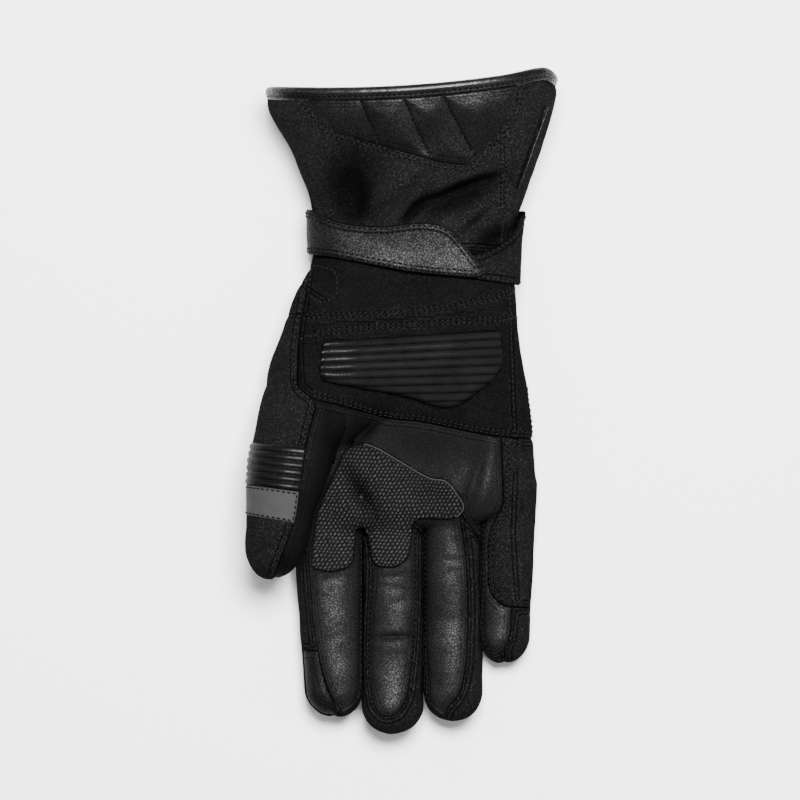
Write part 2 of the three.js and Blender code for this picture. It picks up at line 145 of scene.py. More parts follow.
# %% [markdown]
# ## Shader maths
# A material is a graph of nodes. Reading sums in a graph is slow, so a small class wraps a socket, and plain
# Python expressions on it add the Math nodes. Every other node comes from one function: first its settings,
# then the values or links of its sockets.

# %% Wrap sockets for plain arithmetic
class Wire:
    def __init__(self, socket):
        self.socket = socket

    def maths(self, operation, *values):
        tree = self.socket.id_data
        return add_node(tree, "ShaderNodeMath", {"operation": operation}, dict(enumerate(values)))

    def __add__(self, other):
        return self.maths("ADD", self, other)

    def __sub__(self, other):
        return self.maths("SUBTRACT", self, other)

    def __rsub__(self, other):
        return self.maths("SUBTRACT", other, self)

    def __mul__(self, other):
        return self.maths("MULTIPLY", self, other)

    __radd__ = __add__
    __rmul__ = __mul__


def add_node(tree, kind, settings, inputs, out=0):
    node = tree.nodes.new(kind)
    for name, value in settings.items():
        setattr(node, name, value)
    for name, value in inputs.items():
        if isinstance(value, Wire):
            tree.links.new(value.socket, node.inputs[name])
        else:
            node.inputs[name].default_value = value
    return Wire(node.outputs[out])


# %% [markdown]
# Most finishes here are the same few steps: a pattern in the object's own coordinates, a colour between two
# tones, a roughness and a height. `Finish` keeps those steps. Heights are in millimetres, so that a bump of
# 0.1 is a tenth of a millimetre. `STITCH_ROWS` is how far a seam's two rows of stitches lie from it, and
# `LINE_ROW` is the same for a line that is sewn on both of its sides.

# %% Steps that the finishes share
STITCH_ROWS = (1.3, 3.0)
LINE_ROW = 0.85


class Finish:
    def __init__(self, name):
        self.material = bpy.data.materials.new(name)
        self.material.use_nodes = True
        self.tree = self.material.node_tree
        self.shader = self.tree.nodes["Principled BSDF"]
        place = self.node("ShaderNodeTexCoord", {}, {}, "Object")
        self.place = self.node("ShaderNodeVectorMath", {"operation": "SCALE"}, {0: place, "Scale": 1000.0})

    def node(self, kind, settings, inputs, out=0):
        return add_node(self.tree, kind, settings, inputs, out)

    def clouds(self, size, detail=2.0, rough=0.5):
        """Soft noise between 0 and 1 whose blobs are about size millimetres wide."""
        inputs = {"Vector": self.place, "Scale": 1 / size, "Detail": detail, "Roughness": rough}
        return self.node("ShaderNodeTexNoise", {}, inputs)

    def cells(self, size, feature="F1", where=None):
        """Distance to the middle, or to the edge, of cells about size millimetres wide."""
        inputs = {"Vector": where or self.place, "Scale": 1 / size}
        return self.node("ShaderNodeTexVoronoi", {"feature": feature}, inputs, "Distance")

    def spread(self, value, low, high, out_low=0.0, out_high=1.0):
        """Moves value from low..high to out_low..out_high with a soft start and end."""
        inputs = {"Value": value, "From Min": low, "From Max": high, "To Min": out_low, "To Max": out_high}
        return self.node("ShaderNodeMapRange", {"interpolation_type": "SMOOTHSTEP"}, inputs)

    def attribute(self, name):
        return self.node("ShaderNodeAttribute", {"attribute_name": name}, {}, "Fac")

    def axis(self, name):
        return self.node("ShaderNodeSeparateXYZ", {}, {0: self.place}, name)

    def groove(self, distance, row):
        """Zero at one distance from a seam and 1 away from it."""
        return self.spread(distance.maths("ABSOLUTE", distance - row), 0.1, 0.55)

    def thread_rows(self):
        """Zero in the grooves that stitching presses into the cloth, and 1 away from them."""
        seam, line = self.attribute("seam"), self.attribute("line")
        beside = self.groove(seam, STITCH_ROWS[0]) * self.groove(seam, STITCH_ROWS[1])
        return beside * self.groove(line.maths("ABSOLUTE", line), LINE_ROW)

    def painted_fold_shade(self):
        """Painted shade: 1 where the skin lies open, and less deep in a fold, where the colour is painted
        darker and the gloss is less.
        """
        return 1.0 - 0.75 * self.attribute("fold")

    def raised_cloth_highlight(self, wide):
        """Painted highlight: 1 close to a seam, where the thread pushes the cloth up, and zero past a few
        millimetres.
        """
        seam, line = self.attribute("seam"), self.attribute("line")
        beside = self.spread(seam, 0.6, wide, 1.0, 0.0) * self.spread(seam, 0.2, 0.8)
        return beside.maths("MAXIMUM", beside, self.spread(line.maths("ABSOLUTE", line), 0.5, wide, 1.0, 0.0))

    def tone(self, share, dark, light):
        """A grey between two tones."""
        colours = {6: (dark, dark, dark * 1.02, 1), 7: (light, light, light * 1.02, 1)}
        return self.node("ShaderNodeMix", {"data_type": "RGBA"}, {0: share, **colours}, 2)

    def wear(self, **sockets):
        """Sets the shader's sockets, with an underscore for a space in their names."""
        for name, value in sockets.items():
            socket = self.shader.inputs[name.replace("_", " ")]
            if isinstance(value, Wire):
                self.tree.links.new(value.socket, socket)
            else:
                socket.default_value = value

    def emboss(self, height, distance=0.001, strength=1.0):
        inputs = {"Height": height, "Distance": distance, "Strength": strength}
        self.wear(Normal=self.node("ShaderNodeBump", {}, inputs))


# %% [markdown]
# ### Leather
# The fingers and the strap are goat leather: small raised pebbles with creases between them, and a thin
# glossy coat that catches the light on each pebble. Voronoi cells give the pebbles, a second, finer layer
# breaks them up, and slow clouds vary the gloss. The palm gets dull, and its colour is painted darker where
# the thumb shades it, as painted shade; folds get painted shade too.

# %% Make the leathers
SEAM_WIDTH = 1.0
THUMB_SHADE = (-12.0, 8.0)


def leather(name, tone, gloss, rough, pebble, relief, worn=None):
    """Leather of one tone. Pebble and relief are in millimetres, and worn is where the gloss ends; with worn
    given, the colour is also painted darker towards the thumb, as painted shade.
    """
    skin = Finish(name)
    warp = skin.node("ShaderNodeTexNoise", {}, {"Vector": skin.place, "Scale": 0.6, "Detail": 1.0}, "Color")
    bent = skin.node("ShaderNodeVectorMath", {"operation": "SCALE"}, {0: warp, "Scale": 1.2})
    where = skin.node("ShaderNodeVectorMath", {"operation": "ADD"}, {0: skin.place, 1: bent})
    dome = skin.spread(skin.cells(pebble, "DISTANCE_TO_EDGE", where), 0.0, 0.28)
    fine = skin.cells(pebble * 0.45, "DISTANCE_TO_EDGE", where)
    crease = skin.clouds(7.0, 3.0, 0.55)
    wrinkles = skin.spread(crease.maths("ABSOLUTE", crease - 0.5), 0.0, 0.05)
    seam = skin.spread(skin.attribute("seam"), 0.0, SEAM_WIDTH)
    patchy = skin.clouds(14.0, 2.0)
    rows = skin.thread_rows()
    broad = skin.spread(skin.clouds(19.0, 1.0), 0.35, 0.65, 0.6, 1.25)
    coat = gloss * (0.12 + 0.88 * dome) * (0.5 + patchy) * broad * (0.1 + 0.6 * seam + 0.3 * rows)
    # Folds get painted shade: less gloss and a darker colour deep in them.
    coat = coat * skin.painted_fold_shade()
    shade = (dome * 0.35 + patchy * 0.35 + rows * 0.3) * (0.3 + 0.7 * seam)
    if worn:
        towards_thumb = skin.axis("Y") - 0.5 * skin.axis("X")
        coat = coat * skin.spread(towards_thumb, *worn, 1.0, 0.12)
        # Painted shade: the colour gets darker towards the thumb, where the thumb shades the palm.
        shade = shade * skin.spread(towards_thumb, *THUMB_SHADE, 1.0, 0.38)
    skin.wear(
        Base_Color=skin.tone(shade * skin.painted_fold_shade(), tone * 0.3, tone * 1.4),
        Roughness=0.62 - 0.1 * dome,
        Specular_IOR_Level=0.02,
        Coat_Weight=coat,
        Coat_Roughness=rough,
    )
    skin.emboss(dome * relief + fine * relief * 0.35 + wrinkles * 0.05 + seam * 0.25 + rows * 0.2)
    return skin.material


# name, tone, gloss, roughness of the gloss, pebble, relief, worn
grained_leather = leather("grained_leather", 0.0044, 0.26, 0.48, 1.15, 0.13, (-54.0, -36.0))
strap_leather = leather("strap_leather", 0.003, 0.42, 0.58, 1.2, 0.14)
# The thumb's leather is the palm's leather with painted shade: as dark as the palm towards the thumb, and
# nearly without gloss.
shaded_thumb_leather = leather("shaded_thumb_leather", 0.0015, 0.03, 0.48, 1.15, 0.13)
tip_leather = leather("tip_leather", 0.002, 0.2, 0.5, 0.9, 0.05)
cuff_leather = leather("cuff_leather", 0.0025, 0.36, 0.42, 1.1, 0.1)
binding_leather = leather("binding_leather", 0.0012, 0.9, 0.32, 0.7, 0.03)
piping_leather = leather("piping_leather", 0.001, 0.35, 0.25, 2.2, 0.6)
rib_leather = leather("rib_leather", 0.0015, 0.32, 0.34, 0.7, 0.03)
print("leathers made")

# %% [markdown]
# ### Softshell, suede and knit
# Softshell is a dull stretch cloth with short pale fibres, so it gets fine light flecks and no gloss. The
# heel of the hand is suede, which is darker and has a fine nap. Close to a seam the flecks are painted
# lighter, a painted highlight on the cloth that the thread pushes up. The grip patch is a coarse knit whose
# bumps are modelled as shape; its material adds the yarn, and paints the gaps between the knots dark as
# painted shade.

# %% Make the cloths
def softshell(name, tone, flecks, nap):
    cloth = Finish(name)
    fibres = cloth.clouds(0.52, 1.0, 0.6)
    spots = cloth.spread(fibres, 0.54, 0.7)
    weave = cloth.clouds(1.2, 2.0, 0.7)
    slow = cloth.clouds(18.0, 2.0)
    seam = cloth.spread(cloth.attribute("seam"), 0.0, SEAM_WIDTH)
    rows = cloth.thread_rows()
    # Painted light: the flecks close to a seam are painted lighter, a painted highlight on the raised cloth,
    # and folds get painted shade.
    base = slow * 0.14 + weave * 0.14 + spots * (flecks + 0.4 * cloth.raised_cloth_highlight(4.0))
    base = base * (0.05 + 0.3 * seam + 0.65 * rows) * cloth.painted_fold_shade()
    cloth.wear(
        Base_Color=cloth.tone(base, tone * 0.1, tone * 10.0),
        Roughness=0.95 - 0.1 * weave,
        Specular_IOR_Level=0.008,
    )
    cloth.emboss(fibres * nap + weave * nap * 0.6 + seam * 0.3 + rows * 0.3)
    return cloth.material


def knit(name, tone):
    yarn = Finish(name)
    strands = yarn.clouds(0.3, 1.0)
    knot = yarn.attribute("knot")
    # Painted light: the knots' tops are painted lighter and the gaps between them painted dark, as painted
    # shade; folds get painted shade too.
    yarn.wear(
        Base_Color=yarn.tone((knot * 0.8 + strands * 0.2) * yarn.painted_fold_shade(), tone * 0.03, tone),
        Roughness=0.62 - 0.2 * knot,
        Specular_IOR_Level=0.02,
        Coat_Weight=0.3 * knot * yarn.painted_fold_shade(),
        Coat_Roughness=0.5,
    )
    yarn.emboss(strands * 0.05)
    return yarn.material


# name, tone, share of pale flecks, height of the nap
softshell_cloth = softshell("softshell_cloth", 0.002, 0.6, 0.18)
cuff_cloth = softshell("cuff_cloth", 0.0025, 0.6, 0.18)
suede_cloth = softshell("suede_cloth", 0.0014, 0.3, 0.12)
knit_cloth = knit("knit_cloth", 0.013)
lining_cloth = softshell("lining_cloth", 0.002, 0.1, 0.06)
print("cloths made")

# %% [markdown]
# ### Rubber, reflective tape and thread
# The slider on the heel is moulded rubber, dull but for the polished left ends of its ribs, and its ribs'
# crests are painted lighter and its grooves painted darker, as painted shade. The tape round the thumb is
# grey and holds tiny glass beads. Thread is twisted, so it has lighter and darker spots.

# %% Make the trims
def moulded_rubber(name, tone, rough, polished):
    """Rubber with ribs that are polished at their left ends and dull past the second of two places."""
    rubber = Finish(name)
    fine = rubber.clouds(0.5, 2.0)
    slow = rubber.clouds(9.0, 2.0)
    rib = rubber.attribute("knot")
    crest = rubber.spread(rib, 0.985, 1.0) * rubber.spread(rubber.attribute("seam"), 0.8, 1.4)
    shine = crest * rubber.spread(rubber.axis("X"), *polished, 1.0, 0.02) * rubber.spread(fine, 0.4, 0.5)
    # Painted light: the ribs' crests are painted lighter and their grooves painted darker.
    rubber.wear(
        Base_Color=rubber.tone(rib * (0.4 * slow + 0.6 * fine), tone * 0.25, tone * 3.0),
        Roughness=0.6 + 0.1 * fine,
        Specular_IOR_Level=0.003,
        Coat_Weight=shine,
        Coat_Roughness=rough,
    )
    rubber.emboss(fine * 0.04)
    return rubber.material


def reflective_tape(name, tone):
    tape = Finish(name)
    beads = tape.cells(0.6)
    slow = tape.clouds(5.0, 3.0)
    seam = tape.spread(tape.attribute("seam"), 0.0, SEAM_WIDTH)
    tape.wear(
        Base_Color=tape.tone(0.25 * beads + 0.45 * slow + 0.3 * seam, tone * 0.55, tone * 1.3),
        Roughness=0.55 + 0.15 * beads,
        Specular_IOR_Level=0.05,
    )
    tape.emboss(beads * 0.05 + seam * 0.1)
    return tape.material


def sewing_thread(name, tone):
    thread = Finish(name)
    twist = thread.clouds(0.3, 1.0)
    thread.wear(
        Base_Color=thread.tone(twist, tone * 0.5, tone * 1.5),
        Roughness=0.6 + 0.2 * twist,
        Specular_IOR_Level=0.03,
    )
    thread.emboss(twist * 0.05)
    return thread.material


slider_rubber = moulded_rubber("slider_rubber", 0.003, 0.32, (-29.0, -18.0))
grey_tape = reflective_tape("grey_tape", 0.021)
black_thread = sewing_thread("black_thread", 0.0006)
dull_thread = sewing_thread("dull_thread", 0.007)
# A pale thread tone for a painted highlight along the grip patch's cut edge.
glint_cord = sewing_thread("glint_cord", 0.03)

plain_paper = Finish("plain_paper")
plain_paper.wear(Base_Color=plain_paper.tone(plain_paper.clouds(900.0), 0.9, 0.93), Roughness=0.9)
floor.data.materials.append(plain_paper.material)
print("materials:", len(bpy.data.materials))

# %% [markdown]
# ## The pattern
# Everything is measured in millimetres in the frame of the sewing pattern: x towards the little finger, y
# towards the cuff and z up. The same numbers shape the CAD model, so both agree. `MIDDLE` is where the CAD
# part's origin lies in the pattern.

# %% Write down the glove's sections
MIDDLE = np.array([0.7, 0.95, 0.0])
MOUTH_Y = 136.6
STRAP_Y = 66.0
FINGER_ROOT_Y = -34.0
FINGER_SPLIT_Y = -44.0
FOURCHETTE = 5.0
FRONT_EDGE = 1.5
THUMB_FLOOR = 24.0
THUMB_CROTCH_Y = -24.0
THUMB_RIGHT = -20.0
BOW_X = -25.0
MOUTH_BOW = 0.0011
BINDING = 6.0


def rows(names, *lines):
    return dict(zip(names.split(), np.array(lines, float).T))


HAND = rows(
    "y bow left right low high",
    (-58, 0.0012, -42.5, 60.0, -1.5, 25.5),
    (-45, 0.0008, -45.5, 59.6, -2.0, 28.5),
    (-25, 0, -48.0, 58.6, -2.5, 32.0),
    (-5, 0, -57.0, 56.8, -2.5, 36.0),
    (12, 0, -57.0, 54.3, -2.5, 39.0),
    (30, 0, -51.0, 51.5, -1.5, 39.0),
    (46, 0, -45.6, 50.7, 2.0, 37.5),
    (60, 0, -38.4, 49.2, 5.2, 36.0),
    (76, 0, -37.5, 50.0, 5.2, 36.5),
    (90, 0, -39.0, 54.8, 3.0, 41.0),
    (100, 0.0001, -43.0, 58.4, 0.8, 45.0),
    (110, 0.0003, -46.8, 62.3, -1.5, 49.0),
    (127, 0.0008, -56.6, 68.2, 0.3, 56.0),
    (MOUTH_Y, MOUTH_BOW, -57.5, 68.3, 1.6, 59.0),
)
THUMB = rows(
    "y left right low high",
    (-77.4, -65.5, -46.0, 30.5, 47.5),
    (-68, -66.2, -43.0, 29.0, 50.0),
    (-57, -66.4, -39.4, 27.5, 51.5),
    (-46, -66.4, -36.4, 25.5, 52.0),
    (-35, -65.4, -32.8, 23.0, 51.0),
    (-24, -64.3, -29.3, 19.5, 49.0),
    (-10, -61.8, -25.5, 13.0, 45.0),
    (4, -58.5, -23.0, 8.0, 40.0),
    (16, -52.0, -24.0, 6.0, 34.0),
)
WRIST = rows(
    "y left right low high",
    (48, -43.0, 51.6, 0.6, 38.6),
    (62, -37.4, 52.3, 3.9, 37.2),
    (74, -37.0, 53.0, 4.1, 37.5),
    (92, -38.4, 55.8, 2.9, 42.6),
)
SIDE_SEAM = rows(
    "y z",
    (-160, 21),
    (-130, 17.5),
    (-95, 12.5),
    (-57, 11.5),
    (0, 14),
    (60, 20.5),
    (100, 23),
    (160, 30),
)
FINGER_LOW = -1.2
TAPER = 5.5
Finger = namedtuple("Finger", "name x wide thick tip_x tip_wide tip_y lift")
FINGERS = [
    Finger("index", -32.0, 30.8, 24, -28.6, 23.8, -138.8, 8),
    Finger("middle", -2.9, 26.0, 25, -3.0, 25.0, -145.2, 10),
    Finger("ring", 23.3, 24.2, 24, 23.5, 24.2, -139.9, 8),
    Finger("little", 48.6, 23.8, 22, 46.1, 20.2, -115.2, 5),
]
print("fingers:", ", ".join(finger.name for finger in FINGERS))


def metres(points):
    return (np.asarray(points) - MIDDLE) * 0.001


# %% [markdown]
# A section is a rounded box across the glove, a superellipse. Between the rows of a table its sides follow a
# smooth curve, the same Hermite curve as in the CAD model, so the lines along the glove have no kinks.

# %% Read a section anywhere along the glove
def column(table, key, y):
    ys, values = table["y"], table[key]
    slopes = np.array(
        [
            (values[min(k + 1, len(ys) - 1)] - values[max(k - 1, 0)])
            / (ys[min(k + 1, len(ys) - 1)] - ys[max(k - 1, 0)])
            for k in range(len(ys))
        ]
    )
    i = np.clip(np.searchsorted(ys, y), 1, len(ys) - 1)
    run = ys[i] - ys[i - 1]
    t = (y - ys[i - 1]) / run
    line = values[i - 1] + (values[i] - values[i - 1]) * t
    ease = t * t * (3 - 2 * t)
    curve = values[i - 1] + (values[i] - values[i - 1]) * ease
    curve = curve + slopes[i - 1] * run * t * (1 - t) ** 2 + slopes[i] * run * t * t * (t - 1)
    return np.where((t <= 0) | (t >= 1), line, curve)


def section_of(table):
    def section(y):
        sides = [column(table, key, y) for key in ("left", "right", "low", "high")]
        bow = column(table, "bow", y) if "bow" in table else np.zeros_like(y)
        return *sides, bow

    return section


def finger_section(finger):
    def section(y):
        t = (FINGER_ROOT_Y - y) / (FINGER_ROOT_Y - finger.tip_y)
        middle = finger.x + (finger.tip_x - finger.x) * t
        half = (finger.wide + (finger.tip_wide - finger.wide) * t) / 2
        low = FINGER_LOW + finger.lift * t * t
        return middle - half, middle + half, low, low + finger.thick - TAPER * t, np.zeros_like(y)

    return section


def seam_height(y):
    return np.interp(y, SIDE_SEAM["y"], SIDE_SEAM["z"])


across_palm = column(HAND, "right", 0.0) - column(HAND, "left", 0.0)
print("the palm is", round(float(across_palm), 1), "mm across")

# %% [markdown]
# ## One body
# The hand, the fingers and the thumb start as separate closed tubes, each a row of rings with a dome at its
# end. Each ring is an oval between a circle and a box: the higher its square number, the fuller its corners.
# The tubes will be melted together, which would also close the narrow gaps between the fingers. So they are
# drawn 1 mm too slim, and the finished skin grows back by as much.

# %% Draw the tubes
SLIM = 1.0
HAND_SQUARE = 2.3
FINGER_SQUARE = 2.25
THUMB_SQUARE = 2.15


def oval(sides, square):
    """How far the points of a ring lie across and up, both between -1 and 1."""
    angle = np.arange(sides) * 2 * math.pi / sides
    return (np.sign(way(angle)) * np.abs(way(angle)) ** (2 / square) for way in (np.cos, np.sin))


def ring_quads(rings, sides, wrap=False):
    """The cells between rings of points. With wrap, the last ring joins the first."""
    row = np.arange(rings if wrap else rings - 1)[:, None] * sides
    here, after = row + np.arange(sides), row + (np.arange(sides) + 1) % sides
    return np.stack([here, after, after + sides, here + sides], axis=2).reshape(-1, 4) % (rings * sides)


def tube(section, start, end, square, dome, sides=110, step=1.4):
    cap = dome - SLIM
    dome_y = end + dome
    turn = np.radians(np.arange(6, 90, 7))
    straight = np.linspace(start, dome_y, int((start - dome_y) / step))
    y = np.r_[straight, dome_y - cap * np.sin(turn)]
    share = np.r_[np.ones(len(straight)), np.cos(turn)]
    left, right, low, high, bow = (part[:, None] for part in section(y))
    across, up = oval(sides, square)
    x = (left + right) / 2 + ((right - left) / 2 - SLIM) * share[:, None] * across
    z = (low + high) / 2 + ((high - low) / 2 - SLIM) * share[:, None] * up
    rings = np.stack([x, y[:, None] + bow * (x - BOW_X) ** 2, z], axis=2)
    points = np.vstack([rings.reshape(-1, 3), rings[0].mean(0), rings[-1].mean(0)])
    first, last = len(points) - 2, len(points) - 1
    faces = ring_quads(len(y), sides).tolist()
    for k in range(sides):
        after = (k + 1) % sides
        tip = (len(y) - 1) * sides
        faces += [(first, after, k), (last, tip + k, tip + after)]
    return points, faces


PAST_MOUTH = 12
tubes = [tube(section_of(HAND), MOUTH_Y + PAST_MOUTH, HAND["y"][0], HAND_SQUARE, dome=9, sides=220)]
tubes += [tube(finger_section(f), FINGER_ROOT_Y, f.tip_y, FINGER_SQUARE, dome=12) for f in FINGERS]
tubes += [tube(section_of(THUMB), THUMB["y"][-1], THUMB["y"][0], THUMB_SQUARE, dome=13)]
print("tubes:", len(tubes))

# %% [markdown]
# A voxel remesh melts the tubes into one skin, which rounds the webs between the fingers as stretched leather
# does. A few passes of smoothing take away the steps that the voxels leave. They also shrink the skin a
# little, so it grows back by that and by what the tubes were too slim.

# %% Melt them into one skin
VOXEL = 1.05
PASSES = 10
SHRUNK = 0.4


def melt(tubes):
    points, faces = [], []
    for tube_points, tube_faces in tubes:
        start = len(points)
        points += list(tube_points)
        faces += [tuple(start + i for i in face) for face in tube_faces]
    mesh = bpy.data.meshes.new("melt")
    mesh.from_pydata([tuple(p) for p in metres(points)], [], faces)
    lump = bpy.data.objects.new("melt", mesh)
    bpy.context.scene.collection.objects.link(lump)
    remesh = lump.modifiers.new("melt", "REMESH")
    remesh.mode = "VOXEL"
    remesh.voxel_size = VOXEL * 0.001
    smooth = lump.modifiers.new("smooth", "SMOOTH")
    smooth.factor = 0.5
    smooth.iterations = PASSES
    bpy.context.view_layer.update()
    skin = lump.evaluated_get(bpy.context.evaluated_depsgraph_get()).to_mesh()
    skin.calc_loop_triangles()
    places = np.zeros(len(skin.vertices) * 3)
    skin.vertices.foreach_get("co", places)
    corners = np.zeros(len(skin.loop_triangles) * 3, int)
    skin.loop_triangles.foreach_get("vertices", corners)
    bpy.data.objects.remove(lump)
    return places.reshape(-1, 3) * 1000 + MIDDLE, corners.reshape(-1, 3)


def normals_of(points, faces):
    a, b, c = points[faces[:, 0]], points[faces[:, 1]], points[faces[:, 2]]
    across = np.cross(b - a, c - a)
    total = np.zeros_like(points)
    for axis in range(3):
        for corner in range(3):
            total[:, axis] += np.bincount(faces[:, corner], across[:, axis], len(points))
    return total / np.maximum(np.linalg.norm(total, axis=1, keepdims=True), 1e-12)


body_points, body_faces = melt(tubes)
body_points += normals_of(body_points, body_faces) * (SLIM + SHRUNK)
print("body:", len(body_points), "points,", len(body_faces), "triangles")

# %% [markdown]
# The palm would meet the fingers in a step. Real leather runs on over the knuckles, so the skin round that
# line is smoothed many more times, by a share that fades out on both sides.

# %% Run the palm on into the fingers
def edges_of(faces):
    return np.sort(np.vstack([faces[:, [0, 1]], faces[:, [1, 2]], faces[:, [2, 0]]]), axis=1)


def smoothed(points, faces, share, times):
    """Moves each point towards the middle of its neighbours by its share, again and again."""
    edges = np.unique(edges_of(faces), axis=0)
    count = np.maximum(np.bincount(edges.ravel(), minlength=len(points)), 1)[:, None]
    for _ in range(times):
        total = np.zeros_like(points)
        for axis in range(3):
            total[:, axis] = np.bincount(edges[:, 0], points[edges[:, 1], axis], len(points))
            total[:, axis] += np.bincount(edges[:, 1], points[edges[:, 0], axis], len(points))
        points = points + share[:, None] * (total / count - points)
    return points


KNUCKLES_Y = -49.0
on_top = 1 / (1 + np.exp(-(body_points[:, 2] - seam_height(body_points[:, 1]) - 3)))
knuckle_share = 0.5 * np.exp(-(((body_points[:, 1] - KNUCKLES_Y) / 8) ** 4)) * on_top
body_points = smoothed(body_points, body_faces, knuckle_share, 70)
print("knuckles:", int((knuckle_share > 0.05).sum()), "points smoothed")

# %% [markdown]
# Between the thumb and the palm the leather spans a web, which the tubes don't have. The table says where the
# web ends on the palm and how high it stands at the thumb. Skin below it is lifted up to it, and it stops in
# a fold above the grip patch.

# %% Span the web of the thumb
WEB_THUMB_X = -37.0
WEB = [
    # y, x on the palm, z there, z at the thumb
    (-19, -21, 33, 44),
    (-11, -13, 34.5, 42.5),
    (4, -9, 36, 38.5),
    (16, -9, 36, 33),
]


def web_height(x, y):
    ys, palm_x, palm_z, thumb_z = np.array(WEB, float).T
    end, low, high = (np.interp(y, ys, values) for values in (palm_x, palm_z, thumb_z))
    return low + (high - low) * np.clip((end - x) / (end - WEB_THUMB_X), -1, 1)


def between(value, low, high, soft):
    """About 1 between low and high, and fading to zero outside within a few times soft."""
    return 1 / (1 + np.exp((low - value) / soft)) / (1 + np.exp((value - high) / soft))


across, along, up = body_points.T
spanned = between(along, -16.5, 9, 0.8) * between(across, WEB_THUMB_X, 0, 0.8) * (up > 22)
body_points[:, 2] += spanned * np.maximum(web_height(across, along) - up, 0)
web_share = 0.5 * between(along, -20, 9, 1.5) * between(across, -42, -4, 1.5) * (up > 22)
body_points = smoothed(body_points, body_faces, web_share, 25)
print("web:", int((web_share > 0.05).sum()), "points smoothed")

# %% [markdown]
# The hand rests on the floor, so its underside is flattened. A soft floor does that: heights well above it
# stay, and those below it fade out to just above zero.

# %% Set the body on the floor
FLOOR_SOFTNESS = 0.7


def rest_on_floor(z):
    return FLOOR_SOFTNESS * np.logaddexp(0, z / FLOOR_SOFTNESS)


body_points[:, 2] = rest_on_floor(body_points[:, 2])
print("lowest point:", round(float(body_points[:, 2].min()), 2), "mm")

# %% [markdown]
# ## Folds
# An empty glove sags where no hand fills it. Each row below is one oval dent, turned in plan: its half
# length and half width, its angle and its depth. A depth below zero is a ridge. Long thin rows are creases.

# %% Press the folds into the palm side
FOLDS = [
    # x, y, half length, half width, angle, depth
    # the empty cuff, which sags and buckles
    (-22, 95, 16, 11, 60, 12.0),
    (-18, 84, 7, 8, 0, 8.0),
    (27, 88, 20, 5, 25, 5.5),
    (-2, 93, 17, 4.5, 41, -5.0),
    (24, 92, 13, 1.8, 21, 5.0),
    (7, 84, 7, 2.0, 46, 4.5),
    (42, 71, 9, 5, 30, 6.0),
    # the hollow of the palm and the web of the thumb
    (12, -22, 26, 15, -12, 4.5),
    (14, -41, 11, 8, -30, 2.5),
    (-17, -13, 12, 6, 52, 4.5),
    # creases and ridges
    (33, 96, 9, 1.6, 18, 2.6),
    (33, 79, 8, 1.6, 42, 1.2),
    (-15, -13, 9, 1.8, 40, 2.2),
    (-17, -41, 12, 4.5, -58, 4.2),
    (33, -36, 20, 3.4, 74, 1.8),
    (39, -32, 22, 4.0, 79, -1.4),
    # wrinkles across the fingers
    (-30, -78, 8, 1.6, 8, 0.3),
    (-2, -77, 9, 1.6, 6, 0.5),
    (-2, -82, 9, 1.4, -8, 0.4),
    (0, -88, 8, 1.6, 24, 0.3),
    (-3, -103.5, 10, 1.4, 2, 1.3),
    (-3, -108, 9, 2.6, 0, -0.4),
    (24, -70, 9, 1.5, -4, 0.3),
    (24, -75, 8, 1.4, 10, 0.25),
    (24, -96, 9, 2.0, -6, 0.25),
    (-28, -104, 8, 2.0, 12, 0.3),
    (44, -84, 7, 1.5, 14, 0.4),
]


def fold_depth(x, y, steepness=False):
    depth = np.zeros_like(x)
    for fold_x, fold_y, long, wide, turn, deep in FOLDS:
        cos, sin = math.cos(math.radians(turn)), math.sin(math.radians(turn))
        along = ((x - fold_x) * cos + (y - fold_y) * sin) / long
        across = ((y - fold_y) * cos - (x - fold_x) * sin) / wide
        depth += (deep / wide if steepness else deep) * np.exp(-(along**2 + across**2))
    return depth


def fold_shade(x, y):
    """How much shade is painted in the folds: 0 on open skin, and up to 1 at the bottom of a steep one."""
    return np.clip(fold_depth(x, y, steepness=True), 0, 1)


def waves(points, size, seed):
    """Slow bumps between -1 and 1, which stay the same each time."""
    shift = Vector((seed * 7.3, seed * 3.1, seed * 5.7))
    return np.array([noise.noise(Vector(p) / size + shift) for p in points])


facing = np.clip(normals_of(body_points, body_faces)[:, 2] * 1.3, 0, 1)
body_points[:, 2] -= facing * fold_depth(body_points[:, 0], body_points[:, 1])
cloth_waves = 0.35 * waves(body_points, 16, 1) + 0.16 * waves(body_points, 6, 2)
body_points += normals_of(body_points, body_faces) * cloth_waves[:, None]
body_points[:, 2] = np.maximum(body_points[:, 2], 0.05)
print("deepest fold:", round(float(fold_depth(*body_points[:, :2].T).max()), 1), "mm")

# %% [markdown]
# ## Outlines in plan
# The seams on the palm are drawn as they look from above. A corner is (x, y, rounding). `outline` rounds the
# corners, and `distance` measures how far points lie from the line: below zero inside, above zero outside.

# %% Draw the seams and patches
THUMB_SIDE = [
    (-38, 66, 0), (-45, 26, 8), (-44.5, 6, 4), (-36, 0, 3), (-41.1, -19.8, 8), (-45.8, -53.5, 8),
    (-54.3, -75.3, 5), (-56, -90, 0), (-90, -90, 0), (-90, 66, 0),
]
HEEL = [
    (-60, 2, 0), (-36, 1, 8), (-5, -8, 6), (8, -8.8, 6), (41.8, -15.8, 10), (80, -18, 0), (80, 66, 0),
    (-60, 66, 0),
]
GRIP = [
    (-23.8, -20.5, 4), (-13.5, -17.8, 6), (13.2, -34, 8), (21.2, -34, 5), (29.4, -46.2, 4), (24, -52, 4),
    (6.2, -51, 5), (4.2, -69, 6), (-1, -73.4, 3), (-11.2, -73, 4), (-14.2, -55, 4), (-19.2, -55, 4),
    (-21, -73.5, 5), (-32, -75.6, 6), (-38.8, -73.2, 2), (-36.5, -49.5, 8),
]
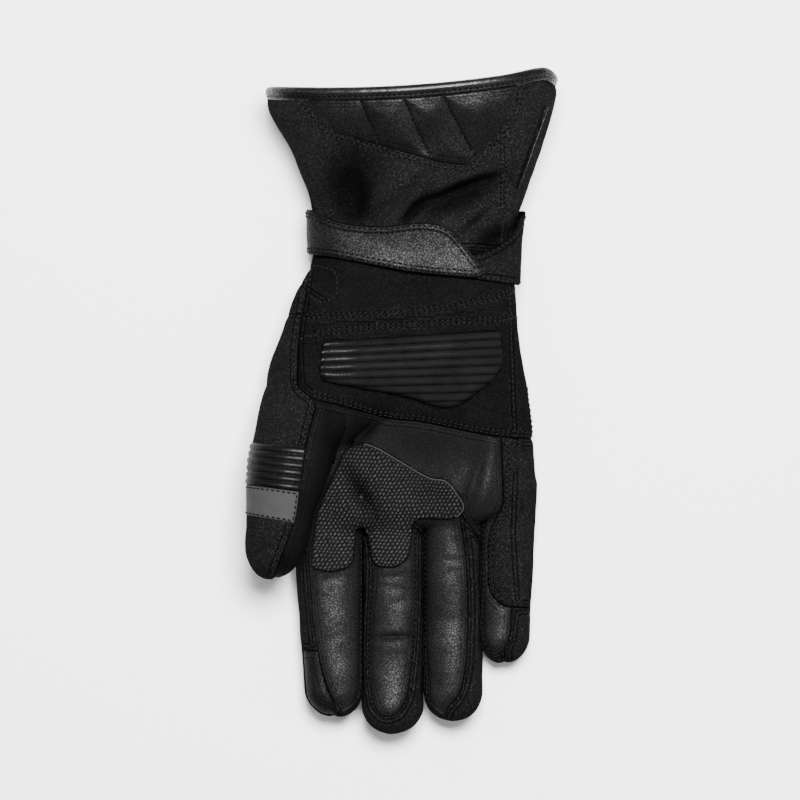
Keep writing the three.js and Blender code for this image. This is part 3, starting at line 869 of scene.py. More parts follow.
SLIDER_PAD = [
    (-33.2, 25.8, 3), (43.1, 30.9, 2), (45.4, 13, 8), (25.3, -2.8, 7), (15.6, -2.2, 6), (3, 2.4, 6),
    (-34.8, 9, 4),
]
CUFF_PANEL = [
    (-39.6, 130.6, 0), (-30.6, 119, 5), (15.4, 104.8, 6), (30.2, 103.2, 3), (49.6, 126, 5), (51, 140, 0),
    (-39, 140, 0),
]
SIDE_PATCH = [
    (44.9, -14, 0), (46, -46, 4), (38.9, -58, 5), (38.9, -84, 5), (45.9, -90.6, 4), (80, -91.4, 0),
    (80, -14, 0),
]
INDEX_FRONT = [
    (-50, -40, 0), (-43.5, -50, 5), (-40.5, -62, 5), (-39.6, -79, 5), (-37.9, -100, 6), (-34.3, -119, 6),
    (-30, -130.7, 4), (-26, -134.9, 3), (-20, -150, 0), (-16.5, -150, 0), (-16.5, -40, 0),
]
MIDDLE_FRONT = [
    (-16.7, -40, 0), (-16.5, -55, 2), (-13, -62, 5), (-12.1, -77, 5), (-13.6, -95, 5), (-14.2, -121, 6),
    (-11, -135.5, 4), (-5.7, -139.2, 3), (-0.4, -137.1, 4), (3.8, -129.6, 5), (6.4, -110.7, 5),
    (7.9, -89.5, 5), (7.5, -68.4, 5), (8, -57.3, 2), (8, -40, 0),
]
RING_FRONT = [
    (8, -40, 0), (8, -57.3, 2), (10.6, -59, 0), (10.6, -150, 0), (14, -150, 0), (20.7, -135.4, 4),
    (27, -128.6, 5), (29.7, -115.9, 5), (30.7, -89.5, 5), (29.7, -68.4, 5), (27, -53.6, 3), (27.2, -40, 0),
]
LITTLE_FRONT = [
    (27.2, -40, 0), (27.4, -51, 2), (34, -58, 3), (36.2, -62, 0), (36.2, -125, 0), (38, -118, 0),
    (42, -112.5, 3), (46.6, -109, 3), (48.7, -104.3, 3), (49.7, -92.6, 3), (50, -80, 0), (62, -60, 0),
    (62, -40, 0),
]
INDEX_TIP = [
    (-60, -108.5, 0), (-40, -110, 0), (-33, -109.5, 0), (-14, -110, 0), (-14, -160, 0), (-60, -160, 0),
]


def outline(corners):
    """A closed line through the corners, rounded from one side of a corner to the other."""
    line = []
    count = len(corners)
    for i, (x, y, reach) in enumerate(corners):
        here = np.array([x, y], float)
        ends = [np.array(corners[(i + step) % count][:2], float) for step in (-1, 1)]
        shares = [min(reach / max(np.linalg.norm(end - here), 1e-6), 0.45) for end in ends]
        before, after = (here + (end - here) * share for end, share in zip(ends, shares))
        for t in np.linspace(0, 1, 6) if reach else [0.5]:
            line.append((1 - t) ** 2 * before + 2 * t * (1 - t) * here + t * t * after)
    return np.array(line)


def distance(line, points, closed=True):
    """Distance in plan to a line. For a closed one it is below zero inside."""
    points = points[:, :2]
    starts = line if closed else line[:-1]
    ends = np.roll(line, -1, axis=0) if closed else line[1:]
    best = np.full(len(points), np.inf)
    inside = np.zeros(len(points), bool)
    for a, b in zip(starts, ends):
        run = b - a
        t = np.clip(((points - a) @ run) / max(run @ run, 1e-12), 0, 1)
        best = np.minimum(best, np.hypot(*(points - a - t[:, None] * run).T))
        if closed and a[1] != b[1]:
            spans = (a[1] > points[:, 1]) != (b[1] > points[:, 1])
            inside ^= spans & (points[:, 0] < a[0] + run[0] * (points[:, 1] - a[1]) / run[1])
    return np.where(inside, -best, best)


def line_side(points, line):
    """Distance to an open line, below zero on its right and large past its ends."""
    line = np.array(line, float)
    gap = distance(line, points, closed=False)
    points = points[:, :2]
    starts, runs = line[:-1], np.diff(line, axis=0)
    spans = [np.clip(((points - a) @ r) / (r @ r), 0, 1) for a, r in zip(starts, runs)]
    gaps = [np.hypot(*(points - a - t[:, None] * r).T) for a, r, t in zip(starts, runs, spans)]
    pick = np.argmin(gaps, axis=0)
    near, run = starts[pick], runs[pick]
    side = np.sign(run[:, 0] * (points[:, 1] - near[:, 1]) - run[:, 1] * (points[:, 0] - near[:, 0]))
    past = ((points - line[0]) @ runs[0] < 0) | ((points - line[-1]) @ runs[-1] > 0)
    return np.where(past, 50.0 * side, gap * side)


def within(corners):
    line = outline(corners)
    return lambda points: distance(line, points)


print("the grip patch's outline has", len(outline(GRIP)), "points")

# %% [markdown]
# ## Regions of the skin
# Each region is a field: a number at every point that is below zero inside and zero on the seam. The larger
# of two fields is where both regions overlap, and the smaller is either one of them. With these we can say
# "on the palm side, inside this outline" in one line.

# %% Say where each region lies
def above_seam(shift=0.0):
    return lambda p: seam_height(p[:, 1]) + shift - p[:, 2]


def both(*fields):
    return lambda p: np.max([field(p) for field in fields], axis=0)


def outside(field):
    return lambda p: -field(p)


def before(y):
    return lambda p: p[:, 1] - y


def shell_distance(section, square):
    """About how far points are from a tube, above zero outside it."""

    def field(p):
        left, right, low, high, _ = section(p[:, 1])
        across = np.abs(p[:, 0] - (left + right) / 2)
        up = np.abs(p[:, 2] - (low + high) / 2)
        size = ((across / (right - left) * 2) ** square + (up / (high - low) * 2) ** square) ** (1 / square)
        return (1 - 1 / np.maximum(size, 1e-3)) * np.hypot(across, up)

    return field


def on_thumb(p):
    """Below zero where the skin is the thumb's own, and zero in the fold where it meets the hand."""
    thumb = np.abs(shell_distance(section_of(THUMB), THUMB_SQUARE)(p))
    hand = np.abs(shell_distance(section_of(HAND), HAND_SQUARE)(p))
    thumb = thumb + 4 * np.maximum(p[:, 1] + 6, 0)
    fingers = [np.abs(shell_distance(finger_section(f), FINGER_SQUARE)(p)) for f in FINGERS[:2]]
    hand = np.where(p[:, 1] < HAND["y"][0] + 5, np.minimum(*fingers), hand)
    return np.where(p[:, 0] > THUMB_RIGHT, 20.0, thumb - hand)


def mouth_line(x):
    """Where the mouth's edge runs: a slow bow, which drops at the corner by the little finger."""
    peak = 0.9 * np.exp(-(((x - 60) / 9) ** 2)) - 0.11 * np.maximum(x - 62, 0) ** 2
    return MOUTH_Y + MOUTH_BOW * (x - BOW_X) ** 2 + peak


def before_mouth(inset):
    return lambda p: p[:, 1] - mouth_line(p[:, 0]) + inset


def under_thumb(p):
    return np.maximum(p[:, 1] - THUMB_CROTCH_Y, p[:, 2] - THUMB_FLOOR)


palm_side = above_seam()
fingers_only = before(FINGER_SPLIT_Y)
thumb_side = both(within(THUMB_SIDE), outside(under_thumb))
front_outlines = (INDEX_FRONT, MIDDLE_FRONT, RING_FRONT, LITTLE_FRONT)
finger_fronts = [both(within(corners), above_seam(FRONT_EDGE)) for corners in front_outlines]
heel = both(within(HEEL), palm_side)
side_patch = both(within(SIDE_PATCH), palm_side, outside(heel))
finger_backs = both(fingers_only, outside(above_seam(-FOURCHETTE)))
grip_area = both(within(GRIP), palm_side, outside(on_thumb))
slider_area = both(within(SLIDER_PAD), palm_side, outside(on_thumb))
cuff_panel_area = both(within(CUFF_PANEL), palm_side, before_mouth(BINDING - 0.6))
print("points on the palm side:", int((palm_side(body_points) < 0).sum()))

# %% [markdown]
# Two bands go round the thumb above its seam: a ribbed one that lets it bend, and reflective tape. Three
# slanting lines bound them. `thumb_share` is 0 on the first line, 1 on the second and 2 on the third.

# %% Mark the bands of the thumb
THUMB_LINES = [(-16, -41.6, -20.5), (-33.4, -44.2, -39.2), (-45.6, -46, -53)]
LEFT_X = -90.0


def thumb_share(p):
    lines = [left + (p[:, 0] - LEFT_X) / (x - LEFT_X) * (right - left) for left, x, right in THUMB_LINES]
    first, second, third = (p[:, 1] - line for line in lines)
    return np.where(second > 0, first / (first - second), 1 + second / (second - third))


def thumb_band(start, end):
    def field(p):
        share = thumb_share(p)
        return np.maximum(start - share, share - end) * 14

    return both(field, on_thumb, within(THUMB_SIDE))


ribbed_area = thumb_band(0, 1)
taped_area = thumb_band(1.01, 2)
print("points on the thumb's bands:", int((thumb_band(0, 2)(body_points) < 0).sum()))

# %% [markdown]
# ## Cutting the pattern pieces
# A triangle that a seam crosses is split exactly on the line, and both sides share the new points. So the
# seams are clean curves, though the skin's own triangles lie anywhere.

# %% Cut the skin along a field's zero line
SNAP = 0.12


def cut(points, faces, field):
    value = field(points)
    value[np.abs(value) < SNAP] = 0.0
    edges = edges_of(faces)
    crossed = value[edges[:, 0]] * value[edges[:, 1]] < 0
    keys, index = np.unique(edges[crossed, 0] * len(points) + edges[crossed, 1], return_inverse=True)
    start, end = keys // len(points), keys % len(points)
    share = value[start] / (value[start] - value[end])
    fresh = points[start] + (points[end] - points[start]) * share[:, None]
    middle = np.full(len(edges), -1)
    middle[crossed] = len(points) + index.ravel()
    middle = middle.reshape(3, -1).T
    count = (middle >= 0).sum(1)
    pieces = [faces[count == 0]]
    once = np.flatnonzero(count == 1)
    k = np.argmax(middle[once] >= 0, axis=1)
    a, b, c = (faces[once, (k + step) % 3] for step in range(3))
    m = middle[once, k]
    pieces += [np.stack([a, m, c], 1), np.stack([m, b, c], 1)]
    twice = np.flatnonzero(count == 2)
    k = np.argmin(middle[twice] >= 0, axis=1)
    a, b, c = (faces[twice, (k + step) % 3] for step in range(3))
    bc, ca = middle[twice, (k + 1) % 3], middle[twice, (k + 2) % 3]
    pieces += [np.stack([bc, c, ca], 1), np.stack([a, b, bc], 1), np.stack([a, bc, ca], 1)]
    return np.vstack([points, fresh]), np.vstack(pieces)


SEAM_FIELDS = [before_mouth(3.0), before(STRAP_Y), palm_side, on_thumb, thumb_side, heel, side_patch]
SEAM_FIELDS += [*finger_fronts, finger_backs, within(INDEX_TIP)]
SEAM_FIELDS += [grip_area, slider_area, cuff_panel_area, ribbed_area, taped_area]
for seam_field in SEAM_FIELDS:
    body_points, body_faces = cut(body_points, body_faces, seam_field)
print("cut body:", len(body_faces), "triangles")

# %% [markdown]
# Now each triangle lies on one side of every seam, so its middle tells which pattern piece it belongs to.
# The rules are read from the first to the last, and the first that fits wins.

# %% Sort the triangles into pattern pieces
def name_pieces(middles):
    def is_in(field):
        return field(middles) < 0

    x, y = middles[:, 0], middles[:, 1]
    names = np.full(len(middles), "", dtype="<U32")

    def rule(where, name):
        names[where & (names == "")] = name

    rule(~is_in(before_mouth(3.0)), "waste")
    rule((y > STRAP_Y) & is_in(palm_side), "cuff_palm")
    rule(y > STRAP_Y, "cuff_back")
    rule(is_in(on_thumb) & is_in(within(THUMB_SIDE)), "thumb_back")
    rule(is_in(on_thumb), "thumb_front")
    palm = (y > FINGER_SPLIT_Y) & is_in(palm_side)
    rule(palm & is_in(thumb_side), "thumb_back")
    rule(is_in(side_patch), "side_patch")
    rule(palm & is_in(heel), "heel_panel")
    rule(palm, "palm_leather")
    rule(y > FINGER_SPLIT_Y, "hand_back")
    for front in finger_fronts:
        rule(is_in(front), "palm_leather")
    index, middle, ring, little = FINGERS
    inner = (x > index.tip_x) & (x < little.tip_x)
    strip = ~is_in(finger_backs) & inner
    rule(strip & (x < middle.x), "fourchette_index_middle")
    rule(strip & (x < ring.x), "fourchette_middle_ring")
    rule(strip, "fourchette_ring_little")
    rule(is_in(within(INDEX_TIP)) & is_in(palm_side) & (x < index.tip_x), "index_tip")
    rule(names == "", "hand_back")
    return names


piece_names = name_pieces(body_points[body_faces].mean(1))
for name in sorted(set(piece_names)):
    print(name, int((piece_names == name).sum()))

# %% [markdown]
# ## Sewing a piece
# These helpers turn a pattern piece into cloth. `take` copies some triangles out of the skin, `refine` splits
# each triangle in four where finer shape is needed, and `edge_distance` measures how far every point is from
# the piece's edge, so that the cloth can puff up between its seams.

# %% Helpers for pattern pieces
def take(points, faces, keep):
    used, index = np.unique(faces[keep], return_inverse=True)
    return points[used], index.reshape(-1, 3)


def rim_of(faces):
    edges, counts = np.unique(edges_of(faces), axis=0, return_counts=True)
    return edges[counts == 1]


def refine(points, faces, times):
    for _ in range(times):
        edges, index = np.unique(edges_of(faces), axis=0, return_inverse=True)
        index = index.ravel()
        ab, bc, ca = (len(points) + index.reshape(3, -1)[k] for k in range(3))
        points = np.vstack([points, points[edges].mean(1)])
        a, b, c = faces.T
        quarters = ((a, ab, ca), (ab, b, bc), (ca, bc, c), (ab, bc, ca))
        faces = np.vstack([np.stack(corners, 1) for corners in quarters])
    return points, faces


def relax(points, faces, times):
    """Evens out the points, apart from those on the rim."""
    share = np.full(len(points), 0.5)
    share[rim_of(faces)] = 0
    return smoothed(points, faces, share, times)


def nearest(points, targets):
    tree = KDTree(len(targets))
    for i, target in enumerate(targets):
        tree.insert(target, i)
    tree.balance()
    return np.array([tree.find(p)[2] for p in points])


def rim_samples(points, faces):
    rim = rim_of(faces)
    a, b = points[rim[:, 0]], points[rim[:, 1]]
    return np.vstack([a + (b - a) * t for t in (0.0, 0.25, 0.5, 0.75)])


def edge_distance(points, faces):
    return nearest(points, rim_samples(points, faces))


# %% [markdown]
# `sew` makes the Blender object. The Solidify modifier gives the sheet its thickness, and the material of
# the inside is the lining. Distances to seams go along as attributes, and the finishes read them. A piece
# without a seam gets a distance that is too large to matter.

# %% Turn a pattern piece into an object
FAR = 99.0


def sew(name, points, faces, finish, slot, thickness=0.0, replaces=(), lining=None, **fields):
    mesh = bpy.data.meshes.new(name)
    mesh.from_pydata(metres(points).tolist(), [], faces.tolist())
    mesh.materials.append(finish)
    if lining:
        mesh.materials.append(lining)
    mesh.shade_smooth()
    # How deep each point lies in a fold goes along too, for the painted shade there.
    fields["fold"] = fold_shade(points[:, 0], points[:, 1]) * (normals_of(points, faces)[:, 2] > 0)
    for key in ("seam", "line", "knot", "fold"):
        values = fields.get(key, np.full(len(points), FAR))
        attribute = mesh.attributes.new(key, "FLOAT", "POINT")
        attribute.data.foreach_set("value", values.astype(np.float32))
    thing = bpy.data.objects.new(f"sewn_{name}", mesh)
    bpy.context.scene.collection.objects.link(thing)
    if thickness:
        solidify = thing.modifiers.new("thickness", "SOLIDIFY")
        solidify.thickness = thickness * 0.001
        solidify.offset = -1.0
        solidify.material_offset = 1 if lining else 0
    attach(thing, "root")
    if replaces:
        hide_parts(*replaces)
    return thing


# %% [markdown]
# ## The panels
# Cloth between two seams is puffed up a little, and pulled in where the thread holds it. Some seams don't
# part two pieces, but they pull the cloth in just the same, so they are listed as lines.

# %% List the panels and the seams across them
WALL = 1.9
HEEL_UPPER = [(-50, 37.5), (-41.5, 37.2), (-4.6, 38.2), (25.4, 41.7), (50.2, 48.2), (56, 49)]
HEEL_LOWER = [(-37, 29), (-31.5, 30.2), (-18.5, 31.9), (41.4, 35.9), (50, 37)]
WRIST_DART = [(-46, 53.5), (-31.5, 43.3)]
THUMB_DART = [(-45, 25.3), (-45.5, 5.5)]
CUFF_SIDE = [(45.3, 119), (45.6, 100), (45.2, 79)]
HEEL_SIDE = [(49, 30), (50, 0), (51, -20)]
LITTLE_SIDE = [(51, -30), (50, -60), (52, -88)]
SEAM_LINES = [HEEL_UPPER, HEEL_LOWER, WRIST_DART, THUMB_DART, CUFF_SIDE, HEEL_SIDE, LITTLE_SIDE]
PANELS = [
    # name, finish, slot, puff, lift
    ("hand_back", softshell_cloth, "softshell", 0.5, 0.0),
    ("cuff_back", cuff_cloth, "softshell", 0.4, 0.0),
    ("cuff_palm", cuff_cloth, "softshell", 0.4, 0.0),
    ("heel_panel", suede_cloth, "suede", 0.5, 0.25),
    ("palm_leather", grained_leather, "leather", 0.5, 0.05),
    ("thumb_back", softshell_cloth, "softshell", 0.5, 0.2),
    ("thumb_front", shaded_thumb_leather, "leather", 0.5, 0.05),
    ("side_patch", softshell_cloth, "softshell", 0.4, 0.45),
    ("index_tip", tip_leather, "leather", 0.3, 0.0),
    ("fourchette_index_middle", softshell_cloth, "softshell", 1.15, 0.0),
    ("fourchette_middle_ring", softshell_cloth, "softshell", 1.15, 0.0),
    ("fourchette_ring_little", softshell_cloth, "softshell", 1.15, 0.0),
]
RUN_ON = [
    ("palm_leather", "thumb_front"),
    ("fourchette_index_middle", "fourchette_middle_ring", "fourchette_ring_little"),
]
WRIST_TAB = [(-38, 60, 2), (-40.5, 47, 4), (-33, 42.4, 4), (-27, 46, 4), (-27.5, 57, 3)]
PATCH_EDGES = {
    # panel: outline of the patch on it, how far its stitching reaches
    "cuff_palm": (CUFF_PANEL, 4.0),
    "heel_panel": (SLIDER_PAD, 0.9),
    "palm_leather": (GRIP, 0.9),
}
print("panels:", len(PANELS), "seam lines:", len(SEAM_LINES))

# %% [markdown]
# The puff depends on the distance to the nearest seam: nothing on it, and all of it a few millimetres away.
# Pieces that run on into each other without a seam are measured as one.

# %% Puff and sew the panels
body_normals = normals_of(body_points, body_faces)


def line_distance(points):
    """Distance to the nearest of the seam lines, which lie on the palm side, told apart by its side."""
    sides = np.array([line_side(points, line) for line in SEAM_LINES])
    pick = np.argmin(np.abs(sides), axis=0)
    best = np.take_along_axis(sides, pick[None], axis=0)[0]
    return np.where(palm_side(points) < 0, best, FAR)


def pillow(gap, puff):
    return puff * (1 - np.exp(-((gap / 3.5) ** 2))) - 0.5 * np.exp(-((gap / 0.9) ** 2))


def family(name):
    """The pieces that run on into this one without a seam."""
    return next((names for names in RUN_ON if name in names), (name,))


panels = {}
for name, finish, slot, puff, lift in PANELS:
    keep = piece_names == name
    used = np.unique(body_faces[keep])
    points, faces = take(body_points, body_faces, keep)
    gap = nearest(points, rim_samples(body_points, body_faces[np.isin(piece_names, family(name))]))
    line = line_distance(points)
    seam = gap
    if name in PATCH_EDGES:
        corners, reach = PATCH_EDGES[name]
        patch_gap = np.abs(within(corners)(points))
        seam = np.where((patch_gap < reach) & (palm_side(points) < 0), np.minimum(gap, patch_gap), gap)
    puffed = pillow(np.minimum(gap, np.abs(line) + 0.6), puff) + lift
    points = points + body_normals[used] * puffed[:, None]
    points[:, 2] = np.maximum(points[:, 2], 0.02)
    nodes = [name] if name in frame["nodes"] else []
    sew(name, points, faces, finish, slot, WALL, nodes, lining_cloth, seam=seam, line=line)
    panels[name] = (points, faces, gap)
    print(name, len(faces))

# %% [markdown]
# ## Patches
# A patch is one more layer on a panel. We take its triangles from the same skin, refine them, and lift them:
# the top is rounded off at the edge, as a cut edge of thick leather is. Its own pattern comes on top.

# %% Lift a patch off the skin
def patch_base(area, times, smoothing=6):
    middles = body_points[body_faces].mean(1)
    points, faces = take(body_points, body_faces, area(middles) < 0)
    points, faces = refine(points, faces, times)
    points = relax(points, faces, smoothing * times)
    return points, faces, normals_of(points, faces), edge_distance(points, faces)


def rounded_edge(gap, reach):
    t = 1 - np.clip(gap / reach, 0, 1)
    return np.sqrt(1 - 0.94 * t * t)


# %% [markdown]
# ### The grip patch
# The patch on the palm is a coarse knit with raised knots, which keep hold of a handlebar. The knots stand in
# offset rows like bricks, and each is real shape, because light has to glance off it from every side.

# %% Knot the grip patch
KNOT_WIDE, KNOT_LONG, KNOT_HIGH = 1.5, 1.9, 0.7
GRIP_TURN = math.radians(58)


def knots(x, y):
    u = (x * math.cos(GRIP_TURN) + y * math.sin(GRIP_TURN)) / KNOT_LONG
    v = (y * math.cos(GRIP_TURN) - x * math.sin(GRIP_TURN)) / KNOT_WIDE
    u = u + 0.5 * (np.floor(v) % 2)
    across, along = v - np.floor(v) - 0.5, u - np.floor(u) - 0.5
    return np.sqrt(np.clip(1 - (across / 0.46) ** 2 - (along / 0.48) ** 2, 0, 1))


points, faces, normals, gap = patch_base(grip_area, 2)
sway = waves(points[:, [0, 1, 1]] * [1, 1, 0], 6, 4) * 0.9
knot = knots(points[:, 0] + sway, points[:, 1] + sway) * np.clip(gap / 0.8 - 0.5, 0, 1)
knot *= 0.75 + 0.5 * waves(points, 1.4, 10)
lift = 0.5 + 0.7 * rounded_edge(gap, 1.0) + KNOT_HIGH * knot
grip_points = points + normals * lift[:, None]
grip_panel = (grip_points, faces, gap)
sew("grip_patch", grip_points, faces, knit_cloth, "knit", 1.2, ["grip_patch"], seam=gap, knot=knot)
print("grip patch:", len(faces), "triangles")

# %% [markdown]
# ### The slider
# A moulded pad on the heel of the hand slides over the road in a fall. Ribs run across it, parallel to its
# upper edge at the top and level at the bottom.

# %% Mould the slider
SLIDER_RIBS = 9
SLIDER_X = (-36.0, 47.0)
SLIDER_TOP_Y = (26.0, 31.2)
SLIDER_LOW_Y = -3.0


def slider_share(x, y):
    """0 on the slider's upper edge and 1 at the height of its lowest point."""
    left, right = SLIDER_TOP_Y
    top = left + (right - left) * (x - SLIDER_X[0]) / (SLIDER_X[1] - SLIDER_X[0])
    return (top - y) / (top - SLIDER_LOW_Y)


points, faces, normals, gap = patch_base(slider_area, 1, 60)
phase = slider_share(points[:, 0], points[:, 1]) * SLIDER_RIBS
rib = 1 - np.abs(2 * (phase - np.floor(phase)) - 1) ** 4
frame_width = np.clip(gap / 1.3 - 0.6, 0, 1)
lift = 0.9 + 2.1 * rounded_edge(gap, 2.2) + 0.7 * rib * frame_width
points = points + normals * lift[:, None]
slider = sew("palm_slider", points, faces, slider_rubber, "rubber", 2.6, ["palm_slider"], knot=rib)
print("slider:", len(faces), "triangles")

# %% [markdown]
# ### The cuff's leather panel
# Three slanting rows of stitches quilt this panel, so it swells between them.

# %% Quilt the cuff panel
QUILT_ROWS = [((-17.2, 131.5), (-9.5, 115)), ((2, 131.5), (12.9, 107.6)), ((18.9, 133), (31.2, 110))]


def quilt_gap(points):
    return np.min([distance(np.array(row, float), points, closed=False) for row in QUILT_ROWS], axis=0)


points, faces, normals, gap = patch_base(cuff_panel_area, 1)
rows_gap = quilt_gap(points)
lift = 0.5 + 0.9 * rounded_edge(gap, 1.2) + 1.2 * (1 - np.exp(-((np.minimum(rows_gap, gap) / 5) ** 2)))
lift -= 0.35 * np.exp(-((rows_gap / 0.8) ** 2))
quilt_panel = (points + normals * lift[:, None], faces, gap)
seam = np.minimum(np.where(rows_gap < 1, rows_gap + STITCH_ROWS[0], FAR), gap)
sew("cuff_panel", quilt_panel[0], faces, cuff_leather, "leather", 1.2, ["cuff_panel"], seam=seam)
print("cuff panel:", len(faces), "triangles")

# %% [markdown]
# ### The bands of the thumb
# Six soft ribs of leather lie across the joint, then comes the grey tape.

# %% Rib and tape the thumb
THUMB_RIBS = 6
points, faces, normals, gap = patch_base(ribbed_area, 2)
phase = np.clip(thumb_share(points), 0, 0.999) * THUMB_RIBS
rib = np.sqrt(np.clip(1 - (2 * (phase - np.floor(phase)) - 1) ** 2, 0, 1))
lift = 0.5 + 0.3 * rounded_edge(gap, 0.8) + 0.95 * rib
rib_points = points + normals * lift[:, None]
sew("thumb_ribs", rib_points, faces, rib_leather, "leather", 1.0, ["thumb_ribs"])
points, faces, normals, gap = patch_base(taped_area, 1)
lift = 0.6 + 0.5 * rounded_edge(gap, 0.8)
tape_points, tape_faces, tape_gap = points + normals * lift[:, None], faces, gap
sew("thumb_reflector", tape_points, faces, grey_tape, "reflective", 1.0, ["thumb_reflector"], seam=gap)
print("thumb bands done")

# %% [markdown]
# ## The wrist strap and its band
# The strap comes round from the back on the left and closes on a stretch band, which comes from the right.
# Both follow one loop that stands off the wrist a little, and each is cut from it by its own outline.

# %% Draw the loop and cut both from it
LOOP_Y = (49, 91)
STRAP_FRONT = [
    (-60, 86, 0), (-38, 85.2, 4), (-26, 78.6, 8), (-8, 76.6, 8), (10, 79.4, 8), (22, 77, 8), (37.4, 56, 3),
    (33, 53.6, 3), (6, 55.6, 9), (-34, 64, 6), (-60, 65.2, 0),
]
BAND_FRONT = [
    (-12, 76, 0), (12, 74.5, 0), (32, 62.5, 8), (49, 72, 8), (54.5, 83, 2), (80, 84, 0), (80, 50.6, 0),
    (50, 51, 5), (-12, 59.5, 0),
]
STRAP_BACK = [(-60, 86, 0), (-30, 84, 8), (8, 83, 0), (8, 61.5, 0), (-30, 64, 8), (-60, 65.2, 0)]
BAND_BACK = [(-15, 83, 0), (80, 84, 0), (80, 50.6, 0), (46, 51.6, 8), (22, 61, 8), (-15, 61.5, 0)]
STRAP = 1.7


def halves(quads):
    return np.vstack([quads[:, [0, 1, 2]], quads[:, [0, 2, 3]]])


def wrist_loop(step, sides):
    y = np.arange(*LOOP_Y, step)
    left, right, low, high, _ = (part[:, None] for part in section_of(WRIST)(y))
    across, up = oval(sides, HAND_SQUARE)
    rings = np.stack(np.broadcast_arrays(
        (left + right) / 2 + (right - left) / 2 * across,
        y[:, None],
        (low + high) / 2 + (high - low) / 2 * up,
    ), axis=2)
    outward = ring_quads(len(y), sides)[:, [0, 3, 2, 1]]
    return rings.reshape(-1, 3), halves(outward)


def loop_part(front, back):
    ahead = both(palm_side, within(front))
    behind = both(outside(palm_side), within(back))
    return lambda p: np.minimum(behind(p), ahead(p))


def cut_loop(area):
    points, faces = wrist_loop(step=0.6, sides=440)
    points, faces = cut(points, faces, area)
    points, faces = take(points, faces, area(points[faces].mean(1)) < 0)
    return points, faces, normals_of(points, faces), edge_distance(points, faces)


points, faces, normals, gap = cut_loop(loop_part(BAND_FRONT, BAND_BACK))
lift = 0.1 + (STRAP - 0.3) * rounded_edge(gap, 1.2) + 0.25 * waves(points, 9, 5)
band_points, band_faces, band_gap = points + normals * lift[:, None], faces, gap
band_points[:, 2] = np.maximum(band_points[:, 2], 0.4)
sew("wrist_band", band_points, faces, softshell_cloth, "softshell", 1.4, ["wrist_band"], seam=gap)
points, faces, normals, gap = cut_loop(loop_part(STRAP_FRONT, STRAP_BACK))
lift = STRAP + 0.5 + (STRAP - 0.4) * rounded_edge(gap, 1.2) + 0.35 * waves(points, 13, 6)
lift += 0.35 * (1 - np.exp(-((gap / 6) ** 2))) + 0.3 * np.exp(-(((gap - sum(STITCH_ROWS) / 2) / 0.6) ** 2))
strap_points, strap_faces, strap_gap = points + normals * lift[:, None], faces, gap
strap_points[:, 2] = np.maximum(strap_points[:, 2], 0.3)
sew("wrist_strap", strap_points, faces, strap_leather, "leather", 1.5, ["wrist_strap"], seam=gap)
print("strap:", len(strap_faces), "triangles, band:", len(band_faces), "triangles")

# %% [markdown]
# ## The rolled mouth
# A strip of leather is rolled over the edge of the cuff and sewn down. We sweep its rounded section round
# the mouth: a thick roll at the edge, and a flatter flange that the stitches hold. Leather on a curve
# puckers, so the roll swells and shrinks a little along its way.

# %% Roll the binding
ROLL_THICK = 4.2
ROLL_SQUARE = 2.6
SEWN_AT = 0.4


def roll_binding(steps=500, sides=28):
    left, right, low, high, _ = section_of(HAND)(np.array([MOUTH_Y]))
    across, up = oval(steps, HAND_SQUARE)
    x = (left + right) / 2 + ((right - left) / 2 - 1.0) * across
    z = (low + high) / 2 + ((high - low) / 2 - 1.0) * up
    middle = np.stack([x, mouth_line(x) - BINDING / 2, z], axis=1)
    along = np.roll(middle, -1, axis=0) - np.roll(middle, 1, axis=0)
    along /= np.linalg.norm(along, axis=1, keepdims=True)
    out = np.stack([along[:, 2], np.zeros(steps), -along[:, 0]], axis=1)
    out /= np.linalg.norm(out, axis=1, keepdims=True)
    forward = np.cross(out, along)
    share, round_share = oval(sides, ROLL_SQUARE)
    tall = BINDING / 2 * share
    flange = 0.78 + 0.27 / (1 + np.exp((share - 0.15) * 14))
    flange -= 0.1 * np.exp(-(((share - SEWN_AT) / 0.12) ** 2))
    thick = ROLL_THICK / 2 * flange * round_share
    pucker = 1 + 0.05 * waves(middle, 3.2, 7) + 0.06 * waves(middle, 11, 8)
    thick = thick[None] * pucker[:, None]
    rings = middle[:, None] + forward[:, None] * tall[None, :, None] + out[:, None] * thick[:, :, None]
    rings[:, :, 2] = np.maximum(rings[:, :, 2], 0.1)
    return rings.reshape(-1, 3), halves(ring_quads(steps, sides, wrap=True)), middle, out, forward


points, faces, roll_line, roll_out, roll_forward = roll_binding()
sew("cuff_binding", points, faces, binding_leather, "leather", 0, ["cuff_binding"])
print("binding:", len(faces), "triangles")

# %% [markdown]
# ## Lines on the cloth
# Stitches and piping follow lines on a surface, such as "2 mm inside the edge". `level_lines` finds where a
# field has one value on a mesh and chains those crossings into lines, with the surface's normal all along.

# %% Find level lines on a mesh
SHORTEST_LINE = 5


def chains(links):
    """Follows the links between points. Open chains start at an end, closed ones come back to their start."""
    starts = [k for k in links if len(links[k]) == 1] + list(links)
    seen, found = set(), []
    for first in starts:
        if first in seen:
            continue
        chain = [first]
        seen.add(first)
        while True:
            onward = [k for k in links[chain[-1]] if k not in seen]
            if not onward:
                break
            chain.append(onward[0])
            seen.add(onward[0])
        if len(chain) > SHORTEST_LINE:
            if chain[0] in links[chain[-1]]:
                chain.append(chain[0])
            found.append(chain)
    return found


